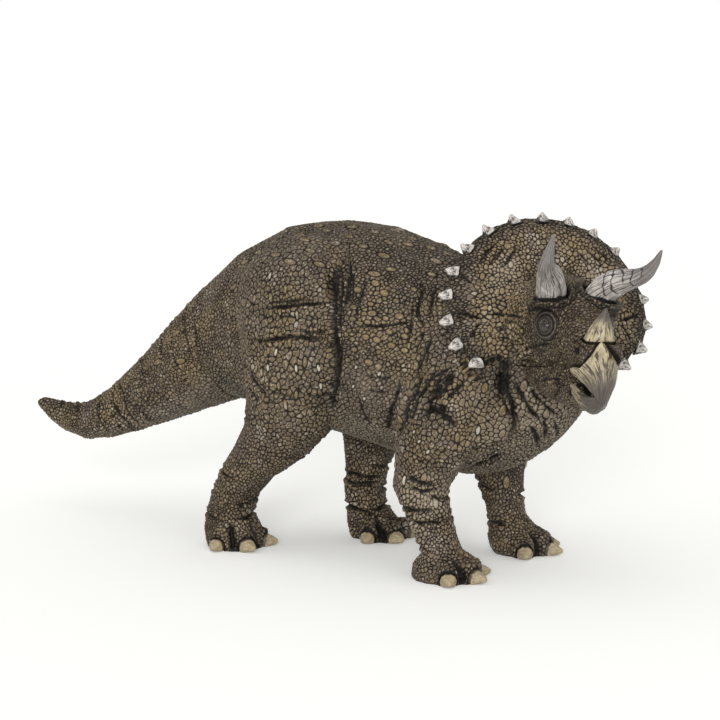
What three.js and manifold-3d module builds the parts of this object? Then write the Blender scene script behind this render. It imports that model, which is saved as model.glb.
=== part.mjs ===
// Three-horned toy dinosaur figure: a painted moulded animal, standing with its head turned to its right.
// Millimetres, +Z up. While it is built, X runs from tail to chest, Y to the animal's left, the ground is Z = 0.
// The finished group is moved so that its origin lies under the middle of its bounding box, on the ground.
import * as THREE from "three";
import { mergeVertices } from "three/addons/utils/BufferGeometryUtils.js";
import Module from "manifold-3d";

// Driving sizes of the animal
const REACH = 50; // hip joint to shoulder joint, along X
const RIDGE = 100; // ground to the height of the back
const BREADTH = 30; // middle plane to the outside of a thigh
const HEAD_REACH = 50; // middle of the cheeks to the front of the beak
const HEAD_DEPTH = 30; // height and width scale of the face
const FRILL_RADIUS = 30;
const FRILL_THICKNESS = 6;
const HORN_REACH = 30; // brow horn, base to tip along the face
const HORN_RADIUS = 4.3;
const EYE_RADIUS = 1.8;
const NOSTRIL_RADIUS = 0.9;
const CHEEK_SPIKE_RADIUS = 3;
const CHEEK_SPIKE_REACH = 8.4;
const KNOB_RADIUS = 2.1;
const KNOB_HEIGHT = 4.2;
const HIND_FOOT_RADIUS = 12;
const FORE_FOOT_RADIUS = 13;
const TOE_SIZE = 4.4;
const NAIL_SIZE = 3.1;

// Construction sizes
const SEAM_GAP = 0.3; // between two pieces that meet
const WALL = 3.2; // hollow torso
const HIP_FACE = 8; // middle plane to the flat inner face of a hind leg
const SHOULDER_FACE = 10; // middle plane to the flat inner face of a foreleg
const PEG_WIDTH = 7; // keyed pegs of the legs, the tail and the neck
const PEG_DEPTH = 10;
const LEG_PEG_REACH = 5.5;
const TAIL_PEG_REACH = 9;
const NECK_PEG_REACH = 7;
const BOSS_RADIUS = 3.4;
const PIN_RADIUS = 1.5;
const PIN_REACH = 3;
const CUT_OVERRUN = 200; // how far a cutting block runs past the animal

// Directions and the turned head
const AHEAD = new THREE.Vector3(1, 0, 0);
const ASIDE = new THREE.Vector3(0, 1, 0);
const UP = new THREE.Vector3(0, 0, 1);
const HEAD_YAW_DEG = -45;
const HEAD_PITCH_DEG = -3.1;
const HEAD_ROLL_DEG = -2.8;
const headPlaceShares = [1.478, -0.427, 0.739];

// Body sections from tail tip to throat: ahead, aside, top, bottom, half width
const bodyShares = [
  [-2.45, -0.02, 0.33, 0.33, 0],
  [-2.4, -0.02, 0.346, 0.31, 0.07],
  [-2.28, 0, 0.338, 0.262, 0.11],
  [-2.08, 0, 0.342, 0.23, 0.165],
  [-1.84, 0, 0.409, 0.247, 0.225],
  [-1.6, 0, 0.516, 0.287, 0.285],
  [-1.36, 0, 0.637, 0.326, 0.355],
  [-1.13, 0, 0.745, 0.368, 0.44],
  [-0.9, 0, 0.842, 0.425, 0.55],
  [-0.6, 0, 0.942, 0.4, 0.72],
  [-0.28, 0, 0.979, 0.366, 0.85],
  [0, 0, 0.99, 0.35, 0.91],
  [0.28, 0, 0.97, 0.322, 0.91],
  [0.56, 0, 0.927, 0.29, 0.86],
  [0.8, -0.02, 0.885, 0.27, 0.79],
  [1, -0.06, 0.865, 0.288, 0.71],
  [1.16, -0.1, 0.85, 0.322, 0.62],
  [1.3, -0.1, 0.82, 0.372, 0.5],
  [1.41, -0.08, 0.76, 0.43, 0.38],
  [1.5, -0.08, 0.68, 0.5, 0.25],
  [1.54, -0.08, 0.6, 0.6, 0],
];
const BODY_EGG_SHARE = 0.14; // how much narrower the back is than the belly
const TAIL_SEAM_SHARE = -0.96;
const TAIL_PEG_UP_SHARE = 0.63;
const bossShares = [[-0.62, 0.74], [0.28, 0.82], [0.3, 0.45], [0.98, 0.5]];

// Legs from the sole to the top: height, ahead, aside, half length, half width
const hindRightShares = [
  [-0.06, -0.65, -0.64, 0, 0],
  [0.02, -0.645, -0.64, 0.185, 0.32],
  [0.08, -0.685, -0.65, 0.143, 0.26],
  [0.14, -0.655, -0.66, 0.138, 0.25],
  [0.205, -0.602, -0.665, 0.145, 0.265],
  [0.27, -0.446, -0.645, 0.226, 0.285],
  [0.34, -0.344, -0.62, 0.262, 0.32],
  [0.42, -0.228, -0.61, 0.293, 0.385],
  [0.52, -0.2, -0.6, 0.345, 0.42],
  [0.66, -0.21, -0.575, 0.386, 0.435],
  [0.78, -0.23, -0.55, 0.4, 0.41],
  [0.88, -0.22, -0.5, 0.31, 0.31],
  [0.95, -0.22, -0.44, 0, 0],
];
const hindLeftShares = [
  [-0.06, -0.01, 0.44, 0, 0],
  [0.02, -0.035, 0.44, 0.18, 0.31],
  [0.07, -0.1, 0.446, 0.118, 0.25],
  [0.13, -0.14, 0.463, 0.115, 0.235],
  [0.2, -0.133, 0.483, 0.118, 0.245],
  [0.26, -0.108, 0.493, 0.15, 0.28],
  [0.34, -0.085, 0.513, 0.21, 0.32],
  [0.42, -0.07, 0.543, 0.275, 0.367],
  [0.52, -0.09, 0.56, 0.33, 0.417],
  [0.66, -0.15, 0.565, 0.38, 0.435],
  [0.78, -0.19, 0.55, 0.4, 0.41],
  [0.88, -0.2, 0.5, 0.31, 0.31],
  [0.95, -0.2, 0.44, 0, 0],
];
const foreRightShares = [
  [-0.06, 0.85, -0.73, 0, 0],
  [0.02, 0.852, -0.73, 0.205, 0.32],
  [0.07, 0.84, -0.73, 0.112, 0.235],
  [0.12, 0.79, -0.733, 0.114, 0.217],
  [0.2, 0.724, -0.733, 0.138, 0.233],
  [0.26, 0.684, -0.723, 0.165, 0.257],
  [0.31, 0.72, -0.713, 0.186, 0.27],
  [0.38, 0.77, -0.69, 0.24, 0.3],
  [0.48, 0.8, -0.65, 0.28, 0.34],
  [0.58, 0.79, -0.6, 0.26, 0.33],
  [0.68, 0.76, -0.56, 0.18, 0.25],
  [0.75, 0.74, -0.53, 0, 0],
];
const foreLeftShares = [
  [-0.06, 0.89, 0.63, 0, 0],
  [0.03, 0.895, 0.63, 0.19, 0.3],
  [0.065, 0.856, 0.623, 0.15, 0.257],
  [0.11, 0.811, 0.613, 0.108, 0.22],
  [0.17, 0.783, 0.607, 0.115, 0.23],
  [0.24, 0.757, 0.6, 0.148, 0.25],
  [0.31, 0.76, 0.6, 0.18, 0.267],
  [0.38, 0.77, 0.61, 0.22, 0.3],
  [0.48, 0.78, 0.617, 0.27, 0.34],
  [0.58, 0.78, 0.6, 0.26, 0.33],
  [0.68, 0.76, 0.567, 0.18, 0.25],
  [0.75, 0.74, 0.53, 0, 0],
];

// Toes and nails: sizes along, across and up, then how high and how far out they stand
const toeShares = [1, 0.8, 0.84];
const nailShares = [1, 0.82, 0.84];
const TOE_RISE_SHARE = 0.45; // of TOE_SIZE
const NAIL_RISE_SHARE = 0.5; // of NAIL_SIZE
const TOE_CIRCLE_SHARE = 0.55; // of the foot's radius
const NAIL_CIRCLE_SHARE = 0.8;

// Face sections from the nape to the snout: ahead, top, bottom, half width
const skullShares = [
  [-0.36, 0.08, 0.08, 0],
  [-0.28, 0.4, -0.24, 0.36],
  [-0.1, 0.5, -0.34, 0.5],
  [0.1, 0.48, -0.36, 0.47],
  [0.28, 0.4, -0.36, 0.295],
  [0.46, 0.22, -0.34, 0.265],
  [0.62, 0.08, -0.28, 0.235],
  [0.74, 0, -0.25, 0.2],
  [0.83, -0.04, -0.23, 0.155],
  [0.87, -0.13, -0.13, 0],
];
const jawShares = [
  [-0.14, -0.42, -0.42, 0],
  [-0.04, -0.24, -0.57, 0.31],
  [0.2, -0.26, -0.65, 0.31],
  [0.42, -0.3, -0.66, 0.25],
  [0.58, -0.38, -0.66, 0.2],
  [0.66, -0.52, -0.52, 0],
];
const eyeShares = [0.304, 0.3, 0.075];
const nostrilShares = [0.714, 0.2, -0.1];
const NOSTRIL_DEPTH_SHARE = 1.1; // of its radius
const cheekSpikeShares = [0.09, 0.375, -0.22];
const CHEEK_SPIKE_DROOP_DEG = 30;

// Beak sections along its hooked middle line: ahead, up, half depth, half width
const upperBeakShares = [
  [0.54, -0.27, 0, 0],
  [0.6, -0.265, 0.06, 0.18],
  [0.71, -0.235, 0.11, 0.155],
  [0.83, -0.215, 0.165, 0.107],
  [0.9, -0.3, 0.15, 0.07],
  [0.897, -0.42, 0.09, 0.05],
  [0.87, -0.51, 0.045, 0.035],
  [0.835, -0.57, 0, 0],
];
const BEAK_FULLNESS = 0.7; // less than 1 squares the section
const lowerBeakShares = [
  [0.48, -0.5, 0, 0],
  [0.58, -0.53, 0.1, 0.17],
  [0.67, -0.56, 0.09, 0.125],
  [0.74, -0.575, 0.055, 0.07],
  [0.785, -0.55, 0, 0],
];

// Horn middle lines, root first. Brow: ahead, out, up, radius. Nose: ahead, up, half length, half width
const browHornShares = [
  [-0.09, -0.035, -0.15, 0],
  [-0.07, -0.027, -0.105, 0.92],
  [0, 0, 0, 1],
  [0.18, 0.067, 0.12, 0.93],
  [0.36, 0.133, 0.215, 0.74],
  [0.54, 0.193, 0.288, 0.53],
  [0.7, 0.24, 0.37, 0.36],
  [0.8, 0.264, 0.44, 0.22],
  [0.885, 0.28, 0.515, 0],
];
const browBossShares = [0.26, 0.22, 0.19]; // the swelling under a brow horn
const browBossSizeShares = [0.15, 0.2, 0.2];
const browBaseShares = [0.266, 0.233, 0.36];
const browHorns = [
  { word: "right", side: -1, riseShare: 1.12 }, // the right horn stands a little steeper
  { word: "left", side: 1, riseShare: 0.88 },
];
const noseHornShares = [
  [0.7, -0.1, 0, 0],
  [0.706, -0.04, 0.088, 0.142],
  [0.714, 0.04, 0.085, 0.138],
  [0.736, 0.12, 0.064, 0.1],
  [0.768, 0.21, 0.036, 0.055],
  [0.79, 0.27, 0.018, 0.028],
  [0.802, 0.3, 0, 0],
];

// Frill: where it stands on the head, its rim at even turns from the crown to the nape, and its knobs
const FRILL_TILT_DEG = 23;
const frillPlaceShares = [-0.202, 0, 0.19];
const FRILL_DISH_SHARE = 0.14; // how far the rim lies behind the middle, of FRILL_RADIUS
const rimShares = [0.925, 0.935, 0.945, 0.955, 0.96, 0.98, 1, 1.01, 0.98, 0.84, 0.55, 0.4, 0.35];
const knobDegrees = [-126, -112, -98, -83, -68, -51, -33.5, -16, 2.5, 18.5, 34.5, 51, 67.5, 83, 98, 112, 126];
const KNOB_TIP_SHARE = 0.14;
const KNOB_FLATNESS_SHARE = 0.85;

// Facets
const BODY_SIDES = 18;
const BODY_ROWS = 27;
const CAVITY_SIDES = 14;
const CAVITY_ROWS = 16;
const LEG_SIDES = 13;
const LEG_ROWS = 17;
const FACE_SIDES = 16;
const FACE_ROWS = 12;
const SMALL_SIDES = 8;
const SMALL_ROWS = 6;
const NAIL_SIDES = 9;
const NAIL_ROWS = 5;
const HORN_SIDES = 10;
const HORN_ROWS = 11;
const FRILL_SIDES = 30;
const FRILL_ROWS = 6;
const PIN_SIDES = 8;
const KNOB_SIDES = 5;

const skin = { color: 0x5a4c30, roughness: 0.6, metalness: 0 };
const ivory = { color: 0xc9b88c, roughness: 0.5, metalness: 0 };
const bone = { color: 0xa8a19b, roughness: 0.55, metalness: 0 };
const glassy = { color: 0x17130f, roughness: 0.15, metalness: 0 };

const wasm = await Module();
wasm.setup();

const radians = THREE.MathUtils.degToRad;

/** A closed geometry as a solid, with its skin moved outwards by growth. */
function solidOf(geometry, growth = 0) {
  const bare = geometry.clone();
  bare.deleteAttribute("normal");
  bare.deleteAttribute("uv");
  const merged = mergeVertices(bare);
  const place = merged.getAttribute("position");
  if (growth !== 0) {
    merged.computeVertexNormals();
    const outward = merged.getAttribute("normal");
    const point = new THREE.Vector3();
    const step = new THREE.Vector3();
    for (let i = 0; i < place.count; i++) {
      step.fromBufferAttribute(outward, i).multiplyScalar(growth);
      point.fromBufferAttribute(place, i).add(step);
      place.setXYZ(i, point.x, point.y, point.z);
    }
  }
  return new wasm.Manifold(
    new wasm.Mesh({
      numProp: 3,
      vertProperties: new Float32Array(place.array),
      triVerts: new Uint32Array(merged.index.array),
    }),
  );
}

const fuller = (turn, fullness) => Math.sign(turn) * Math.abs(turn) ** fullness;

/**
 * A smooth closed skin through sections of { centre, across, lift } that run from one pole to the other.
 * Without a lift axis the sections stand square to the line.
 */
function loft(sections, acrossAxis, liftAxis, sides, rows, egg = 0, fullness = 1) {
  const line = new THREE.CatmullRomCurve3(sections.map((s) => s.centre), false, "catmullrom");
  const squares = sections.map((s) => new THREE.Vector3(s.across ** 2, s.lift ** 2, 0));
  const girth = new THREE.CatmullRomCurve3(squares, false, "catmullrom");
  const shape = new THREE.SphereGeometry(1, sides, rows);
  const place = shape.getAttribute("position");
  for (let i = 0; i < place.count; i++) {
    const along = (1 - place.getY(i)) / 2;
    const point = line.getPoint(along);
    if (along > 0 && along < 1) {
      const ring = Math.hypot(place.getX(i), place.getZ(i));
      const turnAcross = fuller(place.getX(i) / ring, fullness);
      const turnLift = fuller(place.getZ(i) / ring, fullness);
      const size = girth.getPoint(along);
      const narrowing = 1 - egg * turnLift;
      const liftWay = liftAxis ?? new THREE.Vector3().crossVectors(line.getTangent(along), acrossAxis);
      point.addScaledVector(acrossAxis, Math.sqrt(Math.max(size.x, 0)) * turnAcross * narrowing);
      point.addScaledVector(liftWay, Math.sqrt(Math.max(size.y, 0)) * turnLift);
    }
    place.setXYZ(i, point.x, point.y, point.z);
  }
  return shape;
}

/** A ball stretched to the given half sizes, turned about Z and moved. */
function ellipsoid(half, degrees, centre, sides = SMALL_SIDES, rows = SMALL_ROWS) {
  const shape = new THREE.SphereGeometry(1, sides, rows);
  shape.scale(half.x, half.y, half.z);
  shape.rotateZ(radians(degrees));
  shape.translate(centre.x, centre.y, centre.z);
  return shape;
}

/** A block about a middle point. */
function blockSkin(middle, half) {
  const shape = new THREE.BoxGeometry(half.x * 2, half.y * 2, half.z * 2);
  shape.translate(middle.x, middle.y, middle.z);
  return shape;
}

/** Everything on one side of a plane square to X, Y or Z. */
function halfSpace(axis, sign, limit) {
  const middle = new THREE.Vector3();
  const half = new THREE.Vector3(CUT_OVERRUN, CUT_OVERRUN, CUT_OVERRUN);
  half[axis] = CUT_OVERRUN / 2;
  middle[axis] = limit + (sign * CUT_OVERRUN) / 2;
  return solidOf(blockSkin(middle, half));
}

/** A round bar along Y, through a place of the body. */
function barAlongY(radius, place, fromY, toY) {
  const shape = new THREE.CylinderGeometry(radius, radius, toY - fromY, PIN_SIDES);
  shape.translate(place.x, (fromY + toY) / 2, place.z);
  return solidOf(shape);
}

const bodyPlace = (ahead, aside, up) => new THREE.Vector3(ahead * REACH, aside * BREADTH, up * RIDGE);
const facePlace = (ahead, aside, up) =>
  new THREE.Vector3(ahead * HEAD_REACH, aside * HEAD_DEPTH, up * HEAD_DEPTH);

// The head stands in its own frame: x to the snout, y to its left, z up
const headTurn = new THREE.Euler(radians(HEAD_ROLL_DEG), radians(HEAD_PITCH_DEG), radians(HEAD_YAW_DEG), "ZYX");
const headFrame = new THREE.Matrix4().makeRotationFromEuler(headTurn);
headFrame.setPosition(bodyPlace(...headPlaceShares));

/** A face geometry as a solid, standing where the head is. */
function inHead(geometry, growth = 0) {
  return solidOf(geometry.clone().applyMatrix4(headFrame), growth);
}

const pieces = [];

/** Keep a finished solid as a named mesh. */
function keep(name, solid, finish) {
  const out = solid.getMesh();
  const geometry = new THREE.BufferGeometry();
  geometry.setAttribute("position", new THREE.BufferAttribute(new Float32Array(out.vertProperties), 3));
  geometry.setIndex(new THREE.BufferAttribute(new Uint32Array(out.triVerts), 1));
  geometry.computeVertexNormals();
  const mesh = new THREE.Mesh(geometry, new THREE.MeshStandardMaterial(finish));
  mesh.name = name;
  pieces.push(mesh);
}

// Body form and its hollow

const bodySections = bodyShares.map(([ahead, aside, top, bottom, half]) => ({
  centre: bodyPlace(ahead, aside, (top + bottom) / 2),
  across: half * BREADTH,
  lift: ((top - bottom) / 2) * RIDGE,
}));
const bodySkin = loft(bodySections, ASIDE, UP, BODY_SIDES, BODY_ROWS, BODY_EGG_SHARE);
const cavitySkin = loft(bodySections, ASIDE, UP, CAVITY_SIDES, CAVITY_ROWS, BODY_EGG_SHARE);
const tailSeam = TAIL_SEAM_SHARE * REACH;

/** The tail's keyed peg. */
function tailPeg(growth) {
  const middle = new THREE.Vector3(tailSeam, 0, TAIL_PEG_UP_SHARE * RIDGE);
  const half = new THREE.Vector3(TAIL_PEG_REACH, PEG_WIDTH / 2, PEG_DEPTH / 2).addScalar(growth);
  return solidOf(blockSkin(middle, half));
}

// Leg forms; each toe is its turn from straight ahead and its size

const legs = [
  { name: "hind_leg_right", foot: "hind_right", side: -1, shares: hindRightShares, face: HIP_FACE,
    pegShares: [-0.16, 0.66], footShares: [-0.65, -0.64], footRadius: HIND_FOOT_RADIUS,
    toes: [[-92, 0.92], [-33, 1.06], [28, 1], [84, 0.88]] },
  { name: "hind_leg_left", foot: "hind_left", side: 1, shares: hindLeftShares, face: HIP_FACE,
    pegShares: [-0.16, 0.66], footShares: [-0.02, 0.44], footRadius: HIND_FOOT_RADIUS,
    toes: [[-82, 0.92], [-28, 1.06], [33, 1], [92, 0.88]] },
  { name: "foreleg_right", foot: "fore_right", side: -1, shares: foreRightShares, face: SHOULDER_FACE,
    pegShares: [0.76, 0.56], footShares: [0.86, -0.74], footRadius: FORE_FOOT_RADIUS,
    toes: [[-56, 0.98], [-4, 1.06], [48, 0.94]] },
  { name: "foreleg_left", foot: "fore_left", side: 1, shares: foreLeftShares, face: SHOULDER_FACE,
    pegShares: [0.76, 0.56], footShares: [0.89, 0.63], footRadius: FORE_FOOT_RADIUS,
    toes: [[-52, 0.98], [6, 1.06], [56, 0.94]] },
];
for (const leg of legs) {
  const sections = leg.shares.map(([up, ahead, aside, halfAhead, halfAside]) => ({
    centre: bodyPlace(ahead, aside, up),
    across: halfAhead * REACH,
    lift: halfAside * BREADTH,
  }));
  leg.skin = loft(sections, AHEAD, ASIDE, LEG_SIDES, LEG_ROWS);
}

/** A leg's form beyond its flat inner face, grown all round. */
function legForm(leg, growth) {
  return solidOf(leg.skin, growth).intersect(halfSpace("y", leg.side, leg.side * (leg.face - growth)));
}

/** A leg's keyed peg, which passes through the pocket floor of the torso. */
function legPeg(leg, growth) {
  const [ahead, up] = leg.pegShares;
  const middle = bodyPlace(ahead, 0, up).setY(leg.side * leg.face);
  const half = new THREE.Vector3(PEG_WIDTH / 2, LEG_PEG_REACH, PEG_DEPTH / 2).addScalar(growth);
  return solidOf(blockSkin(middle, half));
}

// Face forms

/** A face form from sections of ahead, top, bottom and half width. */
function faceSkin(shares) {
  const sections = shares.map(([ahead, top, bottom, half]) => ({
    centre: facePlace(ahead, 0, (top + bottom) / 2),
    across: half * HEAD_DEPTH,
    lift: ((top - bottom) / 2) * HEAD_DEPTH,
  }));
  return loft(sections, ASIDE, UP, FACE_SIDES, FACE_ROWS);
}

/** A beak form from sections of ahead, up, half depth and half width. */
function beakSkin(shares) {
  const sections = shares.map(([ahead, up, halfDepth, halfWidth]) => ({
    centre: facePlace(ahead, 0, up),
    across: halfWidth * HEAD_DEPTH,
    lift: halfDepth * HEAD_DEPTH,
  }));
  return loft(sections, ASIDE, null, HORN_SIDES, HORN_ROWS, 0, BEAK_FULLNESS);
}

/** A brow horn with its root in the brow; side is 1 for the left and -1 for the right. */
function browHornSkin(side, riseShare) {
  const base = facePlace(browBaseShares[0], side * browBaseShares[1], browBaseShares[2]);
  const sections = browHornShares.map(([ahead, out, up, radius]) => ({
    centre: new THREE.Vector3(ahead, side * out, up * riseShare).multiplyScalar(HORN_REACH).add(base),
    across: radius * HORN_RADIUS,
    lift: radius * HORN_RADIUS,
  }));
  const path = sections.at(-1).centre.clone().sub(sections[0].centre).normalize();
  const across = new THREE.Vector3().crossVectors(UP, path).normalize();
  const lift = new THREE.Vector3().crossVectors(path, across);
  return loft(sections, across, lift, HORN_SIDES, HORN_ROWS);
}

const noseHornSkin = loft(
  noseHornShares.map(([ahead, up, halfAhead, halfAside]) => ({
    centre: facePlace(ahead, 0, up),
    across: halfAhead * HEAD_REACH,
    lift: halfAside * HEAD_DEPTH,
  })),
  AHEAD,
  ASIDE,
  HORN_SIDES,
  SMALL_ROWS,
);

/** The keyed peg at the nape. */
function neckPegSkin(growth) {
  const half = new THREE.Vector3(NECK_PEG_REACH, PEG_WIDTH / 2, PEG_DEPTH / 2).addScalar(growth);
  return blockSkin(facePlace(skullShares[0][0], 0, skullShares[0][1]), half);
}

/** One cheek spike, pointing out and a little down. */
function cheekSpikeSkin(side) {
  const [ahead, aside, up] = cheekSpikeShares;
  const place = facePlace(ahead, side * aside, up);
  const shape = new THREE.ConeGeometry(CHEEK_SPIKE_RADIUS, CHEEK_SPIKE_REACH, SMALL_SIDES);
  const droop = radians(CHEEK_SPIKE_DROOP_DEG);
  shape.rotateX(side > 0 ? -droop : Math.PI + droop);
  shape.translate(place.x, place.y, place.z);
  return shape;
}

// Frill form

const frillFrame = new THREE.Matrix4().makeRotationY(-radians(FRILL_TILT_DEG));
frillFrame.setPosition(facePlace(...frillPlaceShares));
const frillDish = FRILL_DISH_SHARE * FRILL_RADIUS;

/** The frill's rim radius at a turn from the crown. */
function rimRadius(turn) {
  const steps = rimShares.length - 1;
  const at = (Math.abs(turn) / Math.PI) * steps;
  const below = Math.min(Math.floor(at), steps - 1);
  return THREE.MathUtils.lerp(rimShares[below], rimShares[below + 1], at - below) * FRILL_RADIUS;
}

/** The shield behind the face, with a thick round rim that lies a little behind its middle. */
function frillSkin() {
  const shape = new THREE.SphereGeometry(1, FRILL_SIDES, FRILL_ROWS);
  const place = shape.getAttribute("position");
  for (let i = 0; i < place.count; i++) {
    const out = Math.hypot(place.getX(i), place.getZ(i));
    const turn = Math.atan2(place.getX(i), place.getZ(i));
    const radius = rimRadius(turn) * out;
    const face = place.getY(i);
    const depth = (Math.sign(face) * Math.sqrt(Math.abs(face)) * FRILL_THICKNESS) / 2;
    place.setXYZ(i, -depth - frillDish * out ** 2, radius * Math.sin(turn), radius * Math.cos(turn));
  }
  return shape.applyMatrix4(frillFrame);
}

/** One pointed knob on the rim, standing out from the frill's middle. */
function knobSkin(turn) {
  const shape = new THREE.CylinderGeometry(KNOB_RADIUS * KNOB_TIP_SHARE, KNOB_RADIUS, KNOB_HEIGHT, KNOB_SIDES);
  shape.rotateX(Math.PI / 2);
  shape.scale(KNOB_FLATNESS_SHARE, 1, 1);
  shape.translate(-frillDish, 0, rimRadius(turn));
  shape.rotateX(-turn);
  return shape.applyMatrix4(frillFrame);
}

// Knobs, brow horns, eyes, nose horn and beak: each sits in a socket of the head

const sockets = [];
knobDegrees.forEach((degrees, index) => {
  const shape = knobSkin(radians(degrees));
  sockets.push(inHead(shape, SEAM_GAP));
  keep(`frill_knob_${String(index + 1).padStart(2, "0")}`, inHead(shape), bone);
});
const knobSockets = [...sockets];
for (const { word, side, riseShare } of browHorns) {
  const eyeHalf = new THREE.Vector3(EYE_RADIUS, EYE_RADIUS, EYE_RADIUS);
  const eye = ellipsoid(eyeHalf, 0, facePlace(eyeShares[0], side * eyeShares[1], eyeShares[2]));
  const eyeSocket = inHead(eye, SEAM_GAP);
  const horn = browHornSkin(side, riseShare);
  sockets.push(eyeSocket, inHead(horn, SEAM_GAP));
  keep(`eye_${word}`, inHead(eye), glassy);
  keep(`brow_horn_${word}`, inHead(horn).subtract(eyeSocket), bone);
  const nostrilHalf = new THREE.Vector3(NOSTRIL_RADIUS, NOSTRIL_RADIUS * NOSTRIL_DEPTH_SHARE, NOSTRIL_RADIUS);
  const nostrilPlace = facePlace(nostrilShares[0], side * nostrilShares[1], nostrilShares[2]);
  sockets.push(inHead(ellipsoid(nostrilHalf, 0, nostrilPlace)));
}

const noseHornSocket = inHead(noseHornSkin, SEAM_GAP);
sockets.push(noseHornSocket);
keep("nose_horn", inHead(noseHornSkin), ivory);

const upperBeakSkin = beakSkin(upperBeakShares);
const lowerBeakSkin = beakSkin(lowerBeakShares);
const upperBeakSocket = inHead(upperBeakSkin, SEAM_GAP);
const lowerBeakSocket = inHead(lowerBeakSkin, SEAM_GAP);
sockets.push(upperBeakSocket, lowerBeakSocket);
keep("upper_beak", inHead(upperBeakSkin).subtract(noseHornSocket), ivory);
keep("lower_beak", inHead(lowerBeakSkin).subtract(upperBeakSocket), ivory);

// Head and lower jaw

const skull = faceSkin(skullShares);
const jaw = faceSkin(jawShares);
const frill = frillSkin();
let head = inHead(skull).add(inHead(frill)).add(inHead(neckPegSkin(0)));
for (const { side } of browHorns) {
  const [bossAhead, bossAside, bossUp] = browBossShares;
  const brow = ellipsoid(facePlace(...browBossSizeShares), 0, facePlace(bossAhead, side * bossAside, bossUp));
  head = head.add(inHead(cheekSpikeSkin(side))).add(inHead(brow));
}
for (const socket of sockets) {
  head = head.subtract(socket);
}
keep("head", head, skin);
const skullGrown = inHead(skull, SEAM_GAP).add(inHead(frill, SEAM_GAP));
const lowerJaw = inHead(jaw).subtract(skullGrown).subtract(upperBeakSocket).subtract(lowerBeakSocket);
keep("lower_jaw", lowerJaw, skin);

// Torso halves, hollow, with bosses and pins on the middle plane

let headSeat = skullGrown.add(inHead(jaw, SEAM_GAP));
for (const socket of knobSockets) {
  headSeat = headSeat.add(socket);
}
const headWall = inHead(skull, WALL).add(inHead(frill, WALL)).add(inHead(jaw, WALL));
let torso = solidOf(bodySkin).intersect(halfSpace("x", 1, tailSeam + SEAM_GAP / 2)).subtract(headSeat);
let cavity = solidOf(cavitySkin, -WALL).intersect(halfSpace("x", 1, tailSeam + WALL)).subtract(headWall);
for (const leg of legs) {
  torso = torso.subtract(legForm(leg, SEAM_GAP));
  cavity = cavity.subtract(legForm(leg, WALL));
}
for (const [ahead, up] of bossShares) {
  cavity = cavity.subtract(barAlongY(BOSS_RADIUS, bodyPlace(ahead, 0, up), -BREADTH, BREADTH));
}
torso = torso.subtract(cavity).subtract(tailPeg(SEAM_GAP)).subtract(inHead(neckPegSkin(SEAM_GAP)));
for (const leg of legs) {
  torso = torso.subtract(legPeg(leg, SEAM_GAP));
}
let rightShell = torso.intersect(halfSpace("y", -1, -SEAM_GAP / 2));
let leftShell = torso.intersect(halfSpace("y", 1, SEAM_GAP / 2));
for (const [ahead, up] of bossShares) {
  const place = bodyPlace(ahead, 0, up);
  rightShell = rightShell.add(barAlongY(PIN_RADIUS, place, -PIN_REACH, PIN_REACH));
  const holeReach = PIN_REACH + SEAM_GAP;
  leftShell = leftShell.subtract(barAlongY(PIN_RADIUS + SEAM_GAP, place, -holeReach, holeReach));
}
keep("torso_right_shell", rightShell, skin);
keep("torso_left_shell", leftShell, skin);

const tail = solidOf(bodySkin).intersect(halfSpace("x", -1, tailSeam - SEAM_GAP / 2)).add(tailPeg(0));
keep("tail", tail, skin);

// Legs with their toes, flat soles, and the toenails set into the toes

const ground = halfSpace("z", 1, 0);
for (const leg of legs) {
  let solid = legForm(leg, 0).add(legPeg(leg, 0));
  const middle = bodyPlace(...leg.footShares, 0);
  const nails = leg.toes.map(([degrees, scale]) => {
    const outward = AHEAD.clone().applyAxisAngle(UP, radians(degrees)).multiplyScalar(leg.footRadius);
    const toeCentre = middle.clone().addScaledVector(outward, TOE_CIRCLE_SHARE).setZ(TOE_SIZE * TOE_RISE_SHARE);
    const toeHalf = new THREE.Vector3(...toeShares).multiplyScalar(TOE_SIZE * scale);
    solid = solid.add(solidOf(ellipsoid(toeHalf, degrees, toeCentre)));
    const nailCentre = middle.clone().addScaledVector(outward, NAIL_CIRCLE_SHARE).setZ(NAIL_SIZE * NAIL_RISE_SHARE);
    const nailHalf = new THREE.Vector3(...nailShares).multiplyScalar(NAIL_SIZE * scale);
    return ellipsoid(nailHalf, degrees, nailCentre, NAIL_SIDES, NAIL_ROWS);
  });
  nails.forEach((nail, index) => {
    solid = solid.subtract(solidOf(nail, SEAM_GAP));
    keep(`toenail_${leg.foot}_${index + 1}`, solidOf(nail).intersect(ground), ivory);
  });
  keep(leg.name, solid.intersect(ground).subtract(headSeat), skin);
}

const figure = new THREE.Group();
figure.add(...pieces);
const box = new THREE.Box3().setFromObject(figure, true);
figure.position.set(-(box.min.x + box.max.x) / 2, -(box.min.y + box.max.y) / 2, -box.min.z);

export default figure;
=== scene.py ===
"""A standing, horned and frilled toy dinosaur of painted soft plastic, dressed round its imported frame."""

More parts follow.
